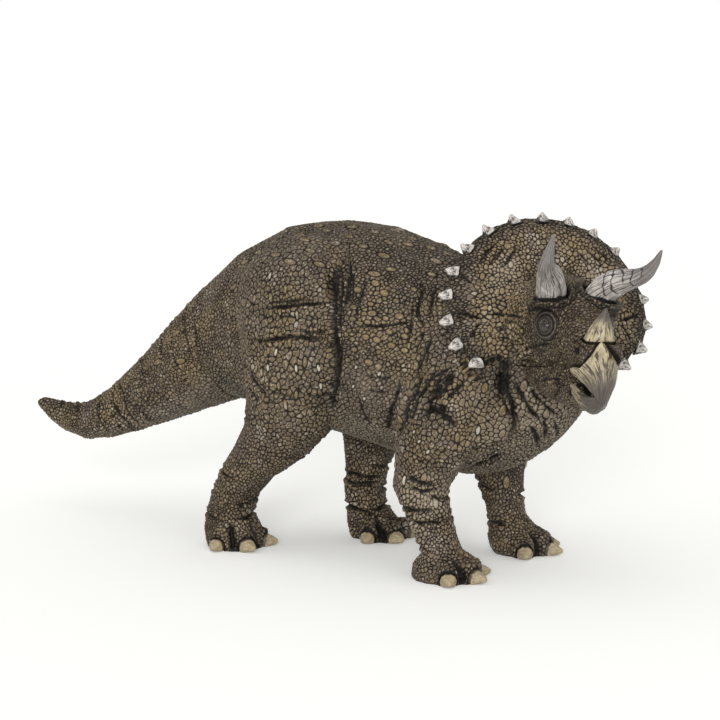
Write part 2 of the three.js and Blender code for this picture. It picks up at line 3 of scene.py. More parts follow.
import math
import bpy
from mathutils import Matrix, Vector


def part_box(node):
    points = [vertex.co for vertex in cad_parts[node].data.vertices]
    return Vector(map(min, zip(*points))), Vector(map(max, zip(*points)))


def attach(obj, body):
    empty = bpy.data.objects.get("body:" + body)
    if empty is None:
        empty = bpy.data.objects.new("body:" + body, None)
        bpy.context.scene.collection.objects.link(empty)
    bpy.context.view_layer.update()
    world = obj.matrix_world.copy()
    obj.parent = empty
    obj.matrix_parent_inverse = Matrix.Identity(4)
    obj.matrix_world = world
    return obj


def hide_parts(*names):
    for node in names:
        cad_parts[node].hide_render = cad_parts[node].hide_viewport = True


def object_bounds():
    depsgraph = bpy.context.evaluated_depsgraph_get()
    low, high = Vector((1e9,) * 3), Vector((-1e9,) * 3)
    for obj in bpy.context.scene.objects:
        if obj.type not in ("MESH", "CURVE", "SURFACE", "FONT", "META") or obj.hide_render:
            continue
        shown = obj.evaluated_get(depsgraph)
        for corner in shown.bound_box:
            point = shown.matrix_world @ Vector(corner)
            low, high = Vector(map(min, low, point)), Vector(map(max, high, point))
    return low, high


bl_info = {
    "name": "Horned toy dinosaur",
    "version": (1, 0, 0),
    "blender": (4, 5, 0),
    "location": "View3D > Sidebar > Horned toy",
    "description": "Builds the painted skin, horns, beak, nails and stage of a horned toy dinosaur",
    "category": "Object",
}

from types import SimpleNamespace

import bmesh
import bpy
import numpy as np
from mathutils import Euler, Vector
from mathutils.bvhtree import BVHTree
from mathutils.kdtree import KDTree

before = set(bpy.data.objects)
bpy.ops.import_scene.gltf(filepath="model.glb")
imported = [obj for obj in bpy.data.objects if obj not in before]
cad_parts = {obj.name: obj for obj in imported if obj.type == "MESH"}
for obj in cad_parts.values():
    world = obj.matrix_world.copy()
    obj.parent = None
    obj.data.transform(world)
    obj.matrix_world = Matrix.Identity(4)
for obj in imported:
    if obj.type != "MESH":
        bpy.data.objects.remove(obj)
CAD_BOX = [list(corner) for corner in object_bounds()]

SIDES = ("right", "left")
SKIN_NODES = (
    "torso_right_shell", "torso_left_shell", "tail", "head", "lower_jaw",
    "foreleg_right", "foreleg_left", "hind_leg_right", "hind_leg_left",
)
TORSO_RIGHT, TORSO_LEFT, TAIL, HEAD, JAW, FORE_RIGHT, FORE_LEFT, HIND_RIGHT, HIND_LEFT = range(9)

# Places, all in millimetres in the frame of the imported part. Meshes are in metres.
MM = 1000.0
FAR = 9.0  # stands for any distance too large to matter
NEIGHBOURS = 6  # scales that each point is weighed against
TURN = 6.28  # a full turn, for random angles
MIDDLE_Y = 9.825
HEAD_PLACE = np.array([78.73, -2.975, 73.9])
HEAD_TURN = np.array(Euler((math.radians(-2.8), math.radians(-3.1), math.radians(-45)), "XYZ").to_matrix())
FRILL_PLACE = np.array([-10.1, 0.0, 5.7])
FRILL_TILT = math.radians(23)
CAMERA_PLACE = np.array([423.5, -660.3, 182.1])
CAMERA_AIM = np.array([4.827, 9.825, 57.0])
PICTURE = 720
PIXELS_PER_SLOPE = 2672.0  # pixels from the picture's middle at one millimetre aside per millimetre ahead
SENSOR = 36.0

# Lamps: place in metres, spread in degrees and power. The floor as it lights the toy, and as it is seen.
LAMPS = (("top", (0.1, -0.25, 0.9), 60.0, 0.22), ("front", (0.45, -0.9, 0.32), 20.0, 1.75))
LAMP_AIM = (0.0, 0.0, 0.05)
FLOOR_LIT, FLOOR_SHOWN = (0.62, 0.63, 0.61), (0.93, 0.94, 0.92)

# The beak's two sheets, in head coordinates. Front, length and half width are given for heights, the
# top and bottom edges for angles away from the middle line, and turn is how far the tip leans to its right.
UPPER_BEAK = dict(
    front=([-19, -17, -15, -12, -8, -4, -1], [41.5, 43.0, 44.3, 45.2, 45.2, 43.2, 40.6]),
    length=([-19, -15, -12, -8, -4, -1], [8, 10, 12, 15, 14, 12]),
    width=([-19, -17, -15, -12, -8, -4, -1], [1.4, 2.5, 3.7, 5.1, 6.3, 6.0, 5.6]),
    top=([0, 15, 30, 45, 57, 66, 78, 90], [-0.1, -1.3, -3.5, -5.6, -7.3, -7.6, -7.7, -8.4]),
    bottom=([0, 20, 35, 50, 62, 75, 90], [-17.2, -16.0, -14.2, -12.3, -11.1, -10.1, -9.2]), turn=0.9)
LOWER_BEAK = dict(
    front=([-20.5, -19, -17, -15, -12], [35.0, 38.6, 40.9, 41.9, 41.9]),
    length=([-20.5, -19, -17, -15, -12], [8, 9.5, 11, 11.5, 11.5]),
    width=([-20.5, -19, -17, -15, -12], [1.8, 3.3, 4.5, 5.3, 6.2]),
    top=([0, 20, 35, 50, 62, 75, 90], [-14.6, -14.9, -15.1, -14.7, -14.1, -13.3, -12.6]),
    bottom=([0, 20, 40, 60, 75, 90], [-20.1, -20.0, -19.3, -18.1, -16.6, -14.8]), turn=1.6)
BEAK_THICKNESS = 1.3
BEAK_MIDDLE = (36.0, 0.0, -9.0)
UPPER_BEAK_ENDS = ((35.0, -0.6, -2.0), (43.5, -1.0, -17.2))
LOWER_BEAK_ENDS = ((32.0, -0.6, -15.0), (40.5, -1.0, -16.0))
NOSE_HORN_ENDS = ((37.0, 0.0, 0.5), (40.1, 0.0, 8.7))

# The eyes and the cheek spikes, in head coordinates of the left side: where the lids sit, which way they
# look, how deep the ball lies behind them and how large it is.
EYE_SEAT = np.array([16.8, 9.55, 2.2])
EYE_LOOK = np.array([0.551, 0.831, 0.08])
EYE_BALL_SINK = 1.05
EYE_BALL_RADIUS = 1.8
CHEEK_SPIKE = (5.0, 16.0, -7.6)
EYE_SMOKE = (15.2, 9.0, 2.3)  # middle of the dark paint round an eye
EYE_CHANNEL_REACH = 6.0  # distance from the eye's line at which its paint channel is full

# The nostrils, in head coordinates of the left side: the pit, and the oval seen from the front that is
# painted dark as the shade in it.
NOSTRIL_PIT, NOSTRIL_INWARD, NOSTRIL_PIT_SIZE = (35.5, 6.1, -3.05), (-0.25, -0.97, 0.0), (0.95, 1.25)
NOSTRIL_OVAL, NOSTRIL_OUTWARD, NOSTRIL_OVAL_SIZE = (35.2, 6.05, -3.0), (0.969, 0.227, 0.093), (0.66, 1.05)

# Tints that the paints below are broken with, some of the pale ones also standing for painted highlights
# and glints, and the light and dark rings round an eye by distance.
MAUVE_BROWN, OCHRE = (0.14, 0.104, 0.094), (0.21, 0.152, 0.078)
RIM_CREAM, PALE_SCALE_AND_HIGHLIGHT, PALE_SPECK_AND_GLINT = (0.42, 0.36, 0.25), (0.46, 0.42, 0.35), (0.46, 0.4, 0.32)
RING_GREY, CHALK_WHITE_AND_GLINT = (0.36, 0.33, 0.29), (0.62, 0.58, 0.5)
PUPIL, IRIS_DARK, IRIS_AMBER, EYE_CORNER = (
    (0.004, 0.004, 0.004), (0.02, 0.014, 0.01), (0.07, 0.045, 0.022), (0.02, 0.016, 0.012))
EYE_RINGS = (
    (0.0, 0.1), (1.3, 0.1), (1.45, 1.0), (1.7, 0.12), (1.92, 0.75), (2.12, 0.2), (2.4, 0.72), (2.62, 0.5),
    (2.88, 0.03), (3.12, 0.45), (3.45, 0.8), (3.85, 0.4), (4.25, 0.0), (4.6, 0.5),
)

# The cracks across each brow horn: share of its length, half turn and place round it.
HORN_WAY = np.array((0.55, 0.0, 0.83))
HORN_CRACKS = {
    "right": [(0.62, 1.2, 2.0)],
    "left": [(0.28, 1.5, 0.5), (0.38, 1.7, 0.2), (0.48, 1.4, 0.9), (0.57, 1.7, 0.4), (0.68, 1.4, 0.8)],
}

# Each foot: how its nails are named, its leg, and the number of its nails.
FEET = (("fore_right", "foreleg_right", 3), ("fore_left", "foreleg_left", 3),
        ("hind_right", "hind_leg_right", 4), ("hind_left", "hind_leg_left", 4))
HEEL_BEHIND = 9.0  # from the middle of the nails back to the place they point away from
KNOBS = [f"frill_knob_{number:02d}" for number in range(1, 18)]
SKIN_GROWTH, BORDER_DEPTH = 0.0002, 0.0009  # in metres, as the meshes are
BOX_MARGIN = 0.03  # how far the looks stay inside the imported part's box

# Places on the photographed side are pixels of the 720 x 720 picture, cast onto the skin by the camera.
# A fold has its line, then in millimetres its width, depth and lip, and how dark it is, which is a dark
# wash and painted shade along the fold.
THIGH_FOLDS = (
    ([(349, 246), (337, 280), (334, 320), (336, 360), (333, 395), (329, 424)], 1.3, 1.1, 0.25, 1.0),
    ([(258, 308), (280, 306), (305, 303), (335, 303)], 0.5, 0.5, 0.2, 0.8),
    ([(268, 303), (300, 300), (322, 301)], 0.4, 0.3, 0.15, 0.6),
    ([(240, 337), (262, 341), (292, 336), (330, 339)], 0.5, 0.5, 0.2, 0.8),
    ([(292, 331), (315, 332), (331, 331)], 0.4, 0.35, 0.15, 0.6),
    ([(246, 362), (258, 385), (272, 402)], 0.5, 0.4, 0.15, 0.6),
    ([(240, 350), (250, 376), (262, 396)], 0.5, 0.4, 0.15, 0.6),
    ([(300, 388), (318, 386), (334, 378)], 0.4, 0.3, 0.1, 0.5),
    ([(252, 318), (275, 317), (300, 316), (325, 318)], 0.35, 0.2, 0.1, 0.35),
    ([(244, 372), (252, 392), (262, 408)], 0.5, 0.4, 0.2, 0.6),
    ([(312, 398), (322, 396), (331, 391)], 0.4, 0.3, 0.1, 0.6),
    ([(305, 408), (318, 407), (329, 402)], 0.4, 0.3, 0.1, 0.6),
    ([(341, 262), (343, 285), (341, 310), (340, 340)], 0.5, 0.45, 0.25, 0.7),
    ([(349, 258), (350, 280), (347, 305)], 0.5, 0.4, 0.25, 0.7),
)
FLANK_FOLDS = (
    ([(347, 327), (362, 326), (385, 326), (405, 323), (423, 318)], 0.4, 0.35, 0.12, 0.8),
    ([(425, 280), (420, 296), (417, 312), (421, 324), (429, 325)], 0.45, 0.45, 0.15, 0.9),
    ([(366, 278), (362, 290), (359, 306)], 0.4, 0.3, 0.1, 0.7),
    ([(424, 326), (420, 340), (413, 358)], 0.45, 0.45, 0.15, 0.8),
    ([(432, 330), (427, 348), (419, 366), (411, 386)], 0.55, 0.5, 0.2, 0.8),
    ([(394, 398), (390, 414), (386, 436)], 0.6, 0.6, 0.2, 1.0),
    ([(357, 392), (362, 410), (372, 428)], 0.5, 0.35, 0.15, 0.6),
    ([(414, 298), (411, 318), (409, 336), (404, 352)], 0.45, 0.35, 0.15, 0.6),
    ([(436, 282), (431, 300), (428, 318)], 0.5, 0.45, 0.2, 0.9),
    ([(423, 372), (417, 392), (409, 406)], 0.5, 0.5, 0.25, 0.9),
    ([(402, 380), (396, 396), (392, 412)], 0.5, 0.35, 0.15, 0.7),
    ([(360, 372), (372, 378), (386, 378), (398, 372)], 0.4, 0.25, 0.12, 0.5),
    ([(366, 388), (378, 393), (392, 390)], 0.4, 0.25, 0.12, 0.5),
)
NECK_FOLDS = (
    ([(462, 372), (450, 377), (438, 387), (424, 401)], 0.8, 0.6, 0.4, 1.0),
    ([(466, 380), (456, 390), (444, 400)], 0.6, 0.4, 0.3, 0.8),
    ([(420, 420), (430, 410), (442, 408), (452, 414)], 1.1, 0.7, 0.4, 1.0),
    ([(498, 366), (503, 378), (502, 392), (498, 402)], 1.5, 0.9, 0.3, 1.0),
)
THROAT_FOLDS = (
    ([(540, 412), (546, 428), (545, 442)], 0.6, 0.4, 0.3, 0.7),
    ([(530, 424), (537, 438), (538, 450)], 0.6, 0.4, 0.3, 0.7),
    ([(554, 420), (558, 430), (556, 440)], 0.5, 0.35, 0.25, 0.6),
)
SHOULDER_FOLDS = (
    ([(427, 362), (418, 386), (405, 410), (397, 440)], 1.0, 0.9, 0.35, 1.0),
    ([(436, 366), (428, 384), (416, 402), (408, 426)], 0.8, 0.6, 0.35, 0.9),
    ([(446, 368), (436, 386), (425, 398)], 0.7, 0.5, 0.3, 0.7),
    ([(455, 371), (445, 388), (432, 402)], 0.7, 0.45, 0.3, 0.7),
    ([(430, 414), (440, 413), (450, 420), (457, 430)], 0.8, 0.6, 0.3, 0.8),
    ([(458, 364), (446, 371), (434, 379)], 0.4, 0.4, 0.3, 0.8),
    ([(459, 369), (449, 375), (438, 383), (430, 391)], 0.4, 0.4, 0.3, 0.8),
    ([(452, 367), (440, 373), (430, 382)], 0.4, 0.35, 0.25, 0.7),
    ([(424, 403), (434, 397), (446, 395)], 0.5, 0.6, 0.3, 1.0),
    ([(422, 396), (432, 389), (442, 384)], 0.45, 0.5, 0.3, 0.9),
    ([(427, 376), (424, 390), (419, 400)], 0.4, 0.5, 0.2, 0.9),
    ([(423, 342), (427, 352), (425, 368)], 0.4, 0.4, 0.2, 0.8),
    ([(500, 395), (506, 408), (512, 420)], 0.4, 0.4, 0.2, 0.8),
    ([(509, 404), (515, 414), (521, 428)], 0.4, 0.4, 0.2, 0.7),
    ([(347, 240), (349, 262), (346, 290), (342, 318)], 0.4, 0.4, 0.25, 0.8),
    ([(355, 262), (353, 284), (350, 306)], 0.35, 0.3, 0.2, 0.6),
    ([(362, 286), (358, 304), (356, 322)], 0.35, 0.3, 0.2, 0.6),
    ([(500, 366), (506, 388), (512, 408), (514, 428), (508, 444)], 0.9, 0.8, 0.3, 0.9),
)
CHEST_FOLDS = (
    ([(512, 372), (520, 394), (532, 412), (548, 424)], 0.6, 0.5, 0.3, 0.7),
    ([(524, 376), (536, 398), (552, 412), (566, 420)], 0.5, 0.4, 0.2, 0.6),
)
ELBOW_FOLDS = (
    ([(466, 470), (484, 462), (506, 452)], 0.8, 0.7, 0.3, 0.9),
    ([(404, 476), (420, 484), (438, 487)], 0.7, 0.6, 0.35, 0.8),
    ([(406, 486), (424, 492), (444, 488)], 0.5, 0.4, 0.25, 0.7),
)
FACE_FOLDS = (
    ([(455, 312), (466, 313), (476, 317), (485, 320)], 0.42, 0.4, 0.15, 1.0),
    ([(484, 313), (498, 314), (512, 315), (526, 320)], 0.42, 0.4, 0.15, 1.0),
    ([(512, 322), (518, 332), (522, 345)], 0.3, 0.25, 0.12, 0.6),
    ([(520, 352), (532, 347), (545, 344), (556, 344)], 0.35, 0.3, 0.15, 0.8),
    ([(515, 365), (528, 366), (542, 366), (556, 362)], 0.35, 0.3, 0.15, 0.8),
    ([(520, 358), (530, 360), (540, 359)], 0.3, 0.25, 0.12, 0.6),
    ([(566, 366), (560, 372), (557, 380), (561, 388)], 0.4, 0.35, 0.3, 0.7),
    ([(572, 340), (580, 343), (586, 350), (583, 358)], 0.3, 0.25, 0.15, 0.6),
    ([(460, 275), (467, 279), (472, 285)], 0.35, 0.35, 0.1, 0.9),
    ([(506, 303), (512, 310), (520, 314)], 0.3, 0.25, 0.1, 0.6),
    ([(590, 242), (603, 255), (613, 267)], 0.35, 0.35, 0.15, 0.9),
    ([(583, 246), (596, 258), (606, 270)], 0.35, 0.3, 0.15, 0.8),
    ([(572, 246), (586, 260), (597, 272)], 0.35, 0.3, 0.12, 0.7),
    ([(620, 322), (628, 333), (632, 345)], 0.35, 0.3, 0.1, 0.8),
    ([(565, 372), (556, 377), (545, 379), (534, 384)], 0.4, 0.4, 0.2, 0.8),
    ([(567, 379), (560, 386), (556, 396), (548, 402)], 0.4, 0.4, 0.2, 0.7),
    ([(548, 372), (538, 378), (530, 388)], 0.35, 0.3, 0.15, 0.6),
    ([(562, 349), (560, 356), (562, 363), (568, 367)], 0.4, 0.35, 0.2, 0.6),
    ([(556, 334), (561, 342), (562, 350)], 0.35, 0.3, 0.15, 0.5),
    ([(530, 346), (538, 350), (548, 352)], 0.35, 0.25, 0.12, 0.5),
    ([(500, 320), (510, 322), (521, 328), (528, 336)], 0.3, 0.3, 0.1, 0.9),
    ([(496, 328), (508, 329), (519, 335), (526, 342)], 0.28, 0.3, 0.1, 0.8),
    ([(494, 337), (506, 338), (518, 343), (530, 344)], 0.28, 0.25, 0.1, 0.8),
    ([(510, 352), (522, 355), (534, 356), (546, 358)], 0.28, 0.25, 0.1, 0.7),
)

# A patch of paint has its middle, its radius in millimetres and its strength.
GOLD_PATCHES = (
    (385, 315, 17, 0.8), (372, 290, 11, 0.7), (400, 345, 13, 0.8), (345, 255, 9, 0.6), (262, 360, 18, 0.35),
    (300, 330, 22, 0.3), (262, 468, 11, 0.55), (320, 420, 12, 0.4), (240, 530, 7, 0.4), (368, 505, 7, 0.7),
    (366, 478, 9, 0.4), (424, 500, 10, 0.6), (455, 395, 12, 0.55), (478, 430, 12, 0.45), (420, 520, 8, 0.6),
    (425, 560, 7, 0.5), (180, 355, 14, 0.6), (110, 405, 12, 0.5), (206, 325, 8, 0.8), (72, 420, 8, 0.4),
    (500, 470, 8, 0.4), (418, 442, 9, 0.4),
)
GREY_PATCHES = (
    (256, 258, 6, 0.6), (326, 236, 6, 0.8), (318, 250, 5, 0.5), (410, 258, 6, 0.8), (382, 265, 4, 0.6),
    (372, 392, 12, 0.55), (400, 392, 8, 0.5), (205, 405, 13, 0.45), (160, 418, 9, 0.35),
    (285, 248, 8, 0.35), (520, 440, 10, 0.4), (545, 430, 9, 0.35), (512, 380, 6, 0.5),
    (332, 240, 4, 1.0), (248, 268, 5, 0.8),
    (238, 274, 4, 0.7), (409, 258, 4, 1.0), (404, 268, 3.5, 0.8), (297, 258, 4, 0.5), (365, 386, 8, 0.7),
)
# Dark paint, and painted shade in the hollows under the cheek, before the thigh and by the shoulder.
DARK_PAINT_AND_SHADE_PATCHES = (
    (318, 262, 6, 0.9), (347, 300, 6, 0.8), (352, 262, 5, 0.5), (400, 300, 7, 0.5), (430, 280, 10, 0.7),
    (431, 350, 9, 0.6), (430, 420, 7, 0.8), (500, 372, 9, 0.9), (232, 385, 7, 0.8), (214, 370, 8, 0.5),
    (404, 440, 8, 0.5), (332, 400, 5, 0.9), (270, 530, 6, 0.8), (250, 545, 5, 0.7), (440, 565, 5, 0.6),
    (362, 290, 4, 0.4), (380, 312, 3, 0.7), (350, 262, 4, 0.9), (347, 320, 4, 0.8), (345, 350, 4, 0.8),
    (347, 385, 5, 0.8), (388, 278, 4, 0.8), (503, 374, 5, 1.0), (504, 388, 5, 0.9), (442, 418, 5, 0.9),
    (432, 404, 4, 0.8), (360, 410, 7, 0.5), (385, 420, 7, 0.6), (240, 395, 6, 0.7), (248, 412, 6, 0.5),
)
CREAM_PATCHES = (
    (503, 273, 7, 1.0), (512, 262, 4, 0.8), (497, 286, 5, 0.8), (560, 250, 5, 0.5), (590, 262, 5, 0.5),
    (620, 325, 4, 0.4), (470, 330, 5, 0.4), (535, 400, 10, 1.0), (560, 410, 9, 1.2), (540, 430, 12, 1.2),
    (430, 500, 12, 0.9), (420, 540, 12, 0.8), (262, 480, 10, 0.35), (245, 530, 9, 0.3), (455, 410, 8, 0.4),
    (470, 400, 7, 0.35), (500, 440, 12, 0.65), (380, 440, 14, 0.3), (548, 375, 8, 0.5), (545, 345, 6, 0.3),
)

# A hollow has its middle, its radius and its depth in millimetres. Right of HEAD_FROM_PIXEL it lies
# under the head and turns with it.
HOLLOWS = (
    (505, 366, 2.2, 1.8), (505, 374, 2.4, 2.0), (504, 383, 2.4, 1.8), (503, 392, 2.2, 1.4),
    (472, 372, 1.6, 0.8), (481, 371, 1.8, 1.1), (490, 369, 2.0, 1.4), (498, 366, 2.0, 1.5),
    (431, 399, 2.4, 1.4), (438, 406, 2.4, 1.5), (428, 412, 2.6, 1.3), (432, 422, 2.4, 1.0),
    (426, 284, 2.4, 1.0), (424, 300, 2.4, 1.1), (427, 318, 2.0, 0.9), (337, 340, 1.8, 1.0),
    (337, 355, 1.8, 1.1), (336, 370, 1.9, 1.2), (334, 386, 2.0, 1.2), (332, 402, 2.0, 1.2),
    (352, 296, 2.0, 0.7), (345, 272, 2.0, 0.7),
)
HEAD_FROM_PIXEL = 463
# Painted shade in the cleft under the frill, as patches of dark paint.
FRILL_PAINTED_SHADE = (
    (474, 370, 1.6, 0.5), (480, 368, 1.7, 0.6), (486, 363, 1.7, 0.75), (492, 360, 1.9, 0.8),
    (499, 358, 1.9, 0.8), (504, 366, 3.0, 0.68), (505, 376, 2.8, 0.6), (504, 388, 2.8, 0.5),
)
# The stretches that carry rings of wrinkles: the tail's along X and the legs' in height.
TAIL_RINGS, FORE_RINGS, HIND_RINGS = (-108.0, -38.0), (9.0, 44.0), (9.0, 56.0)

# Scutes have their middles, half length, half width, the way they lie, their gold and their chalk white,
# which also stands for painted glints.
BACK_SCUTES = (
    (299, 235), (304, 240), (273, 242), (276, 255), (310, 251), (327, 231), (319, 264), (290, 262),
    (349, 237), (363, 246), (374, 232), (388, 242), (408, 244), (384, 255), (374, 273), (391, 269),
    (431, 248), (436, 261), (432, 274), (447, 254), (335, 243), (352, 227), (395, 231), (419, 237),
    (258, 252), (245, 262), (283, 232), (318, 226),
)
THIGH_SCUTES = (
    (235, 286), (285, 289), (270, 298), (266, 322), (280, 312), (297, 315), (276, 332), (257, 336),
    (290, 342), (254, 299), (279, 386), (296, 395), (247, 322), (311, 330), (268, 350), (305, 362),
    (286, 405), (262, 372),
)
# Scutes painted chalk white, the white also standing for painted glints on them.
CHALK_AND_GLINT_THIGH_SCUTES = ((270, 276), (276, 352), (268, 368), (296, 369), (320, 386), (318, 368))
FLANK_SCUTES = (
    (269, 344), (375, 283), (371, 304), (414, 289), (396, 301), (399, 316), (353, 319), (368, 322),
    (389, 332), (405, 336), (376, 340), (391, 345), (404, 350), (354, 350), (369, 362), (378, 367),
    (353, 307), (357, 290), (385, 318), (409, 323), (384, 293), (366, 337), (343, 298), (372, 313),
)
CHALK_AND_GLINT_FLANK_SCUTES = ((356, 367), (379, 374), (353, 386), (364, 399), (419, 441), (428, 452), (414, 432))
LENGTHWISE, UPRIGHT, LEANING = (1, 0, -0.1), (-0.1, 0, 1), (0.6, 0, 1)
PLACED_SCUTES = (
    (BACK_SCUTES, 2.0, 0.85, LENGTHWISE, 0.75, 0.0),
    (THIGH_SCUTES, 1.7, 0.66, UPRIGHT, 0.75, 0.0),
    (CHALK_AND_GLINT_THIGH_SCUTES, 1.45, 0.55, UPRIGHT, 0.5, 0.9),
    (FLANK_SCUTES, 1.35, 0.9, LENGTHWISE, 1.1, 0.0),
    (CHALK_AND_GLINT_FLANK_SCUTES, 0.9, 0.55, LEANING, 0.5, 0.8),
)


# Arithmetic on arrays of points

def ramp(value, low, high):
    """0 below low, 1 above high and a smooth rise between; low may be the larger one."""
    t = np.clip((value - low) / (high - low), 0.0, 1.0)
    return t * t * (3.0 - 2.0 * t)


def curve(places, values):
    """A smooth curve through a few set values."""
    places, values = np.array(places, float), np.array(values, float)
    slopes = np.gradient(values, places)

    def at(place):
        place = np.clip(np.asarray(place, float), places[0], places[-1])
        k = np.clip(np.searchsorted(places, place) - 1, 0, len(places) - 2)
        span = places[k + 1] - places[k]
        t = (place - places[k]) / span
        return ((2 * t ** 3 - 3 * t ** 2 + 1) * values[k] + (t ** 3 - 2 * t ** 2 + t) * span * slopes[k]
                + (3 * t ** 2 - 2 * t ** 3) * values[k + 1] + (t ** 3 - t ** 2) * span * slopes[k + 1])
    return at


def hump(value, middle, width):
    """1 at the middle, falling away smoothly on both sides."""
    return np.exp(-(((value - middle) / width) ** 2))


def lumps(points, size, seed):
    """A smooth random field from -1 to 1 whose lumps are about that size across."""
    table = np.random.default_rng(seed).uniform(-1.0, 1.0, (32, 32, 32))
    place = points / size
    cell = np.floor(place).astype(int)
    part = place - cell
    part = part * part * (3.0 - 2.0 * part)
    total = np.zeros(len(points))
    for dx in (0, 1):
        for dy in (0, 1):
            for dz in (0, 1):
                share = (
                    (part[:, 0] if dx else 1 - part[:, 0])
                    * (part[:, 1] if dy else 1 - part[:, 1])
                    * (part[:, 2] if dz else 1 - part[:, 2])
                )
                corner = (cell + (dx, dy, dz)) % 32
                total += share * table[corner[:, 0], corner[:, 1], corner[:, 2]]
    return total


def in_head(points):
    """Head coordinates: ahead, to its left, up."""
    return (points - HEAD_PLACE) @ HEAD_TURN


def out_of_head(points):
    """From head coordinates back to the part's frame."""
    return HEAD_PLACE + np.asarray(points, float) @ HEAD_TURN.T


def beak_lean(shape, x):
    """How far the beak leans to its right at this distance ahead."""
    return shape["turn"] * np.clip((x - 30) / 12, 0, 1.2)


def in_beak(shape, q):
    """For points in head coordinates: share of the way out to the sheet, and angle off the middle line."""
    x, y, z = q.T
    length = curve(*shape["length"])(z)
    out = (x - curve(*shape["front"])(z)) / length + 1
    across = (y + beak_lean(shape, x)) / curve(*shape["width"])(z)
    return np.hypot(out, across), np.degrees(np.arctan2(np.abs(across), out))


def in_frill(head_points):
    """Frill coordinates: out of its front, to its left, up in its plane."""
    q = head_points - FRILL_PLACE
    c, s = math.cos(FRILL_TILT), math.sin(FRILL_TILT)
    return np.stack([q[:, 0] * c + q[:, 2] * s, q[:, 1], q[:, 2] * c - q[:, 0] * s], 1)


def oval_round(points, centre, axis, size):
    """Distance along an axis, and share of the way out to an upright oval round it."""
    q = points - centre
    along = q @ axis
    flat = q - np.outer(along, axis)
    wide, high = size
    return along, np.sqrt((flat[:, 2] / high) ** 2 + (flat[:, 0] ** 2 + flat[:, 1] ** 2) / wide ** 2)


def clipped(points):
    """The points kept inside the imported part's box."""
    low, high = (np.array(corner) * MM for corner in CAD_BOX)
    return np.clip(points, low + BOX_MARGIN, high - BOX_MARGIN)


def other_side(points):
    """The same places on the body's other side."""
    swapped = np.array(points, float)
    swapped[:, 1] = 2 * MIDDLE_Y - swapped[:, 1]
    return swapped


def other_cheek(points):
    """The same places on the head's other side."""
    q = in_head(np.asarray(points, float))
    q[:, 1] = -q[:, 1]
    return out_of_head(q)


def tree_of(points):
    """A search tree for the nearest of these points."""
    tree = KDTree(len(points))
    for k, point in enumerate(np.asarray(points).tolist()):
        tree.insert(point, k)
    tree.balance()
    return tree


class Net:
    """The edges between a mesh's points, for averages over neighbours."""

    def __init__(self, count, quads):
        pairs = np.vstack([quads[:, [k, (k + 1) % 4]] for k in range(4)])
        pairs.sort(axis=1)
        code = np.unique(pairs[:, 0].astype(np.int64) * count + pairs[:, 1])
        a, b = code // count, code % count
        self.here, self.there = np.concatenate([a, b]), np.concatenate([b, a])
        self.count = count
        self.degree = np.maximum(np.bincount(self.here, minlength=count), 1)

    def mean(self, values):
        """The average over each point's neighbours."""
        if values.ndim == 1:
            return np.bincount(self.here, values[self.there], self.count) / self.degree
        return np.stack([self.mean(values[:, k]) for k in range(values.shape[1])], 1)

    def spread(self, values, rounds):
        """The values blurred over the surface."""
        for _ in range(rounds):
            values = 0.5 * values + 0.5 * self.mean(values)
        return values

    def relax(self, points, rounds, hold=None):
        """Smooths without shrinking."""
        weight = np.ones(self.count) if hold is None else hold
        for _ in range(rounds):
            for push in (0.62, -0.65):
                points = points + (push * weight)[:, None] * (self.mean(points) - points)
        return points

    def largest(self):
        """Which points belong to the largest piece that hangs together."""
        label = np.arange(self.count)
        while True:
            low = label.copy()
            np.minimum.at(low, self.here, label[self.there])
            low = low[low]
            if np.array_equal(low, label):
                break
            label = low
        return label == np.bincount(label).argmax()


def normals_of(points, quads):
    """A normal per point, from the faces round it."""
    cross = np.cross(points[quads[:, 2]] - points[quads[:, 0]], points[quads[:, 3]] - points[quads[:, 1]])
    total = np.zeros((len(points), 3))
    for k in range(3):
        for corner in range(4):
            total[:, k] += np.bincount(quads[:, corner], cross[:, k], len(points))
    return total / np.maximum(np.linalg.norm(total, axis=1), 1e-12)[:, None]


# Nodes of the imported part

def middle_of(node):
    """The middle of a node's box."""
    low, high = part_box(node)
    return np.array((low + high) / 2) * MM


def ends_of(node, towards):
    """The lowest and highest point of a node along a direction, as the middle of each end."""
    points = np.array([v.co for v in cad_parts[node].data.vertices]) * MM
    run = points @ np.asarray(towards, float)
    low, high = run.min(), run.max()
    base = points[run < low + 0.15 * (high - low)].mean(0)
    tip = points[run > high - 0.04 * (high - low)].mean(0)
    return base, tip


def knob_ends(node):
    """The root and the tip of a knob of the frill."""
    out = middle_of(node) - out_of_head(FRILL_PLACE[None])[0]
    return ends_of(node, out / np.linalg.norm(out))


def nails_of(leg, count):
    """Names and middles of a foot's nails, and the place they point away from."""
    names = [f"toenail_{leg}_{number}" for number in range(1, count + 1)]
    middles = [middle_of(name) for name in names]
    return names, middles, np.mean(middles, axis=0) - (HEEL_BEHIND, 0.0, 0.0)


def surface_of(names):
    """The faces of these nodes as one search tree in millimetres, and whose each face is."""
    corners, faces, owner = [], [], []
    for name in names:
        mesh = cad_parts[name].data
        start = len(corners)
        corners.extend([v.co * MM for v in mesh.vertices])
        faces.extend([[start + v for v in polygon.vertices] for polygon in mesh.polygons])
        owner.extend([name] * len(mesh.polygons))
    return BVHTree.FromPolygons(corners, faces), owner


# Meshes

def arrays_of(mesh):
    """A mesh of quads as points in millimetres and corner numbers."""
    points = np.empty(len(mesh.vertices) * 3)
    mesh.vertices.foreach_get("co", points)
    corners = np.empty(len(mesh.loops), np.int32)
    mesh.loops.foreach_get("vertex_index", corners)
    return points.reshape(-1, 3) * MM, corners.reshape(-1, 4)


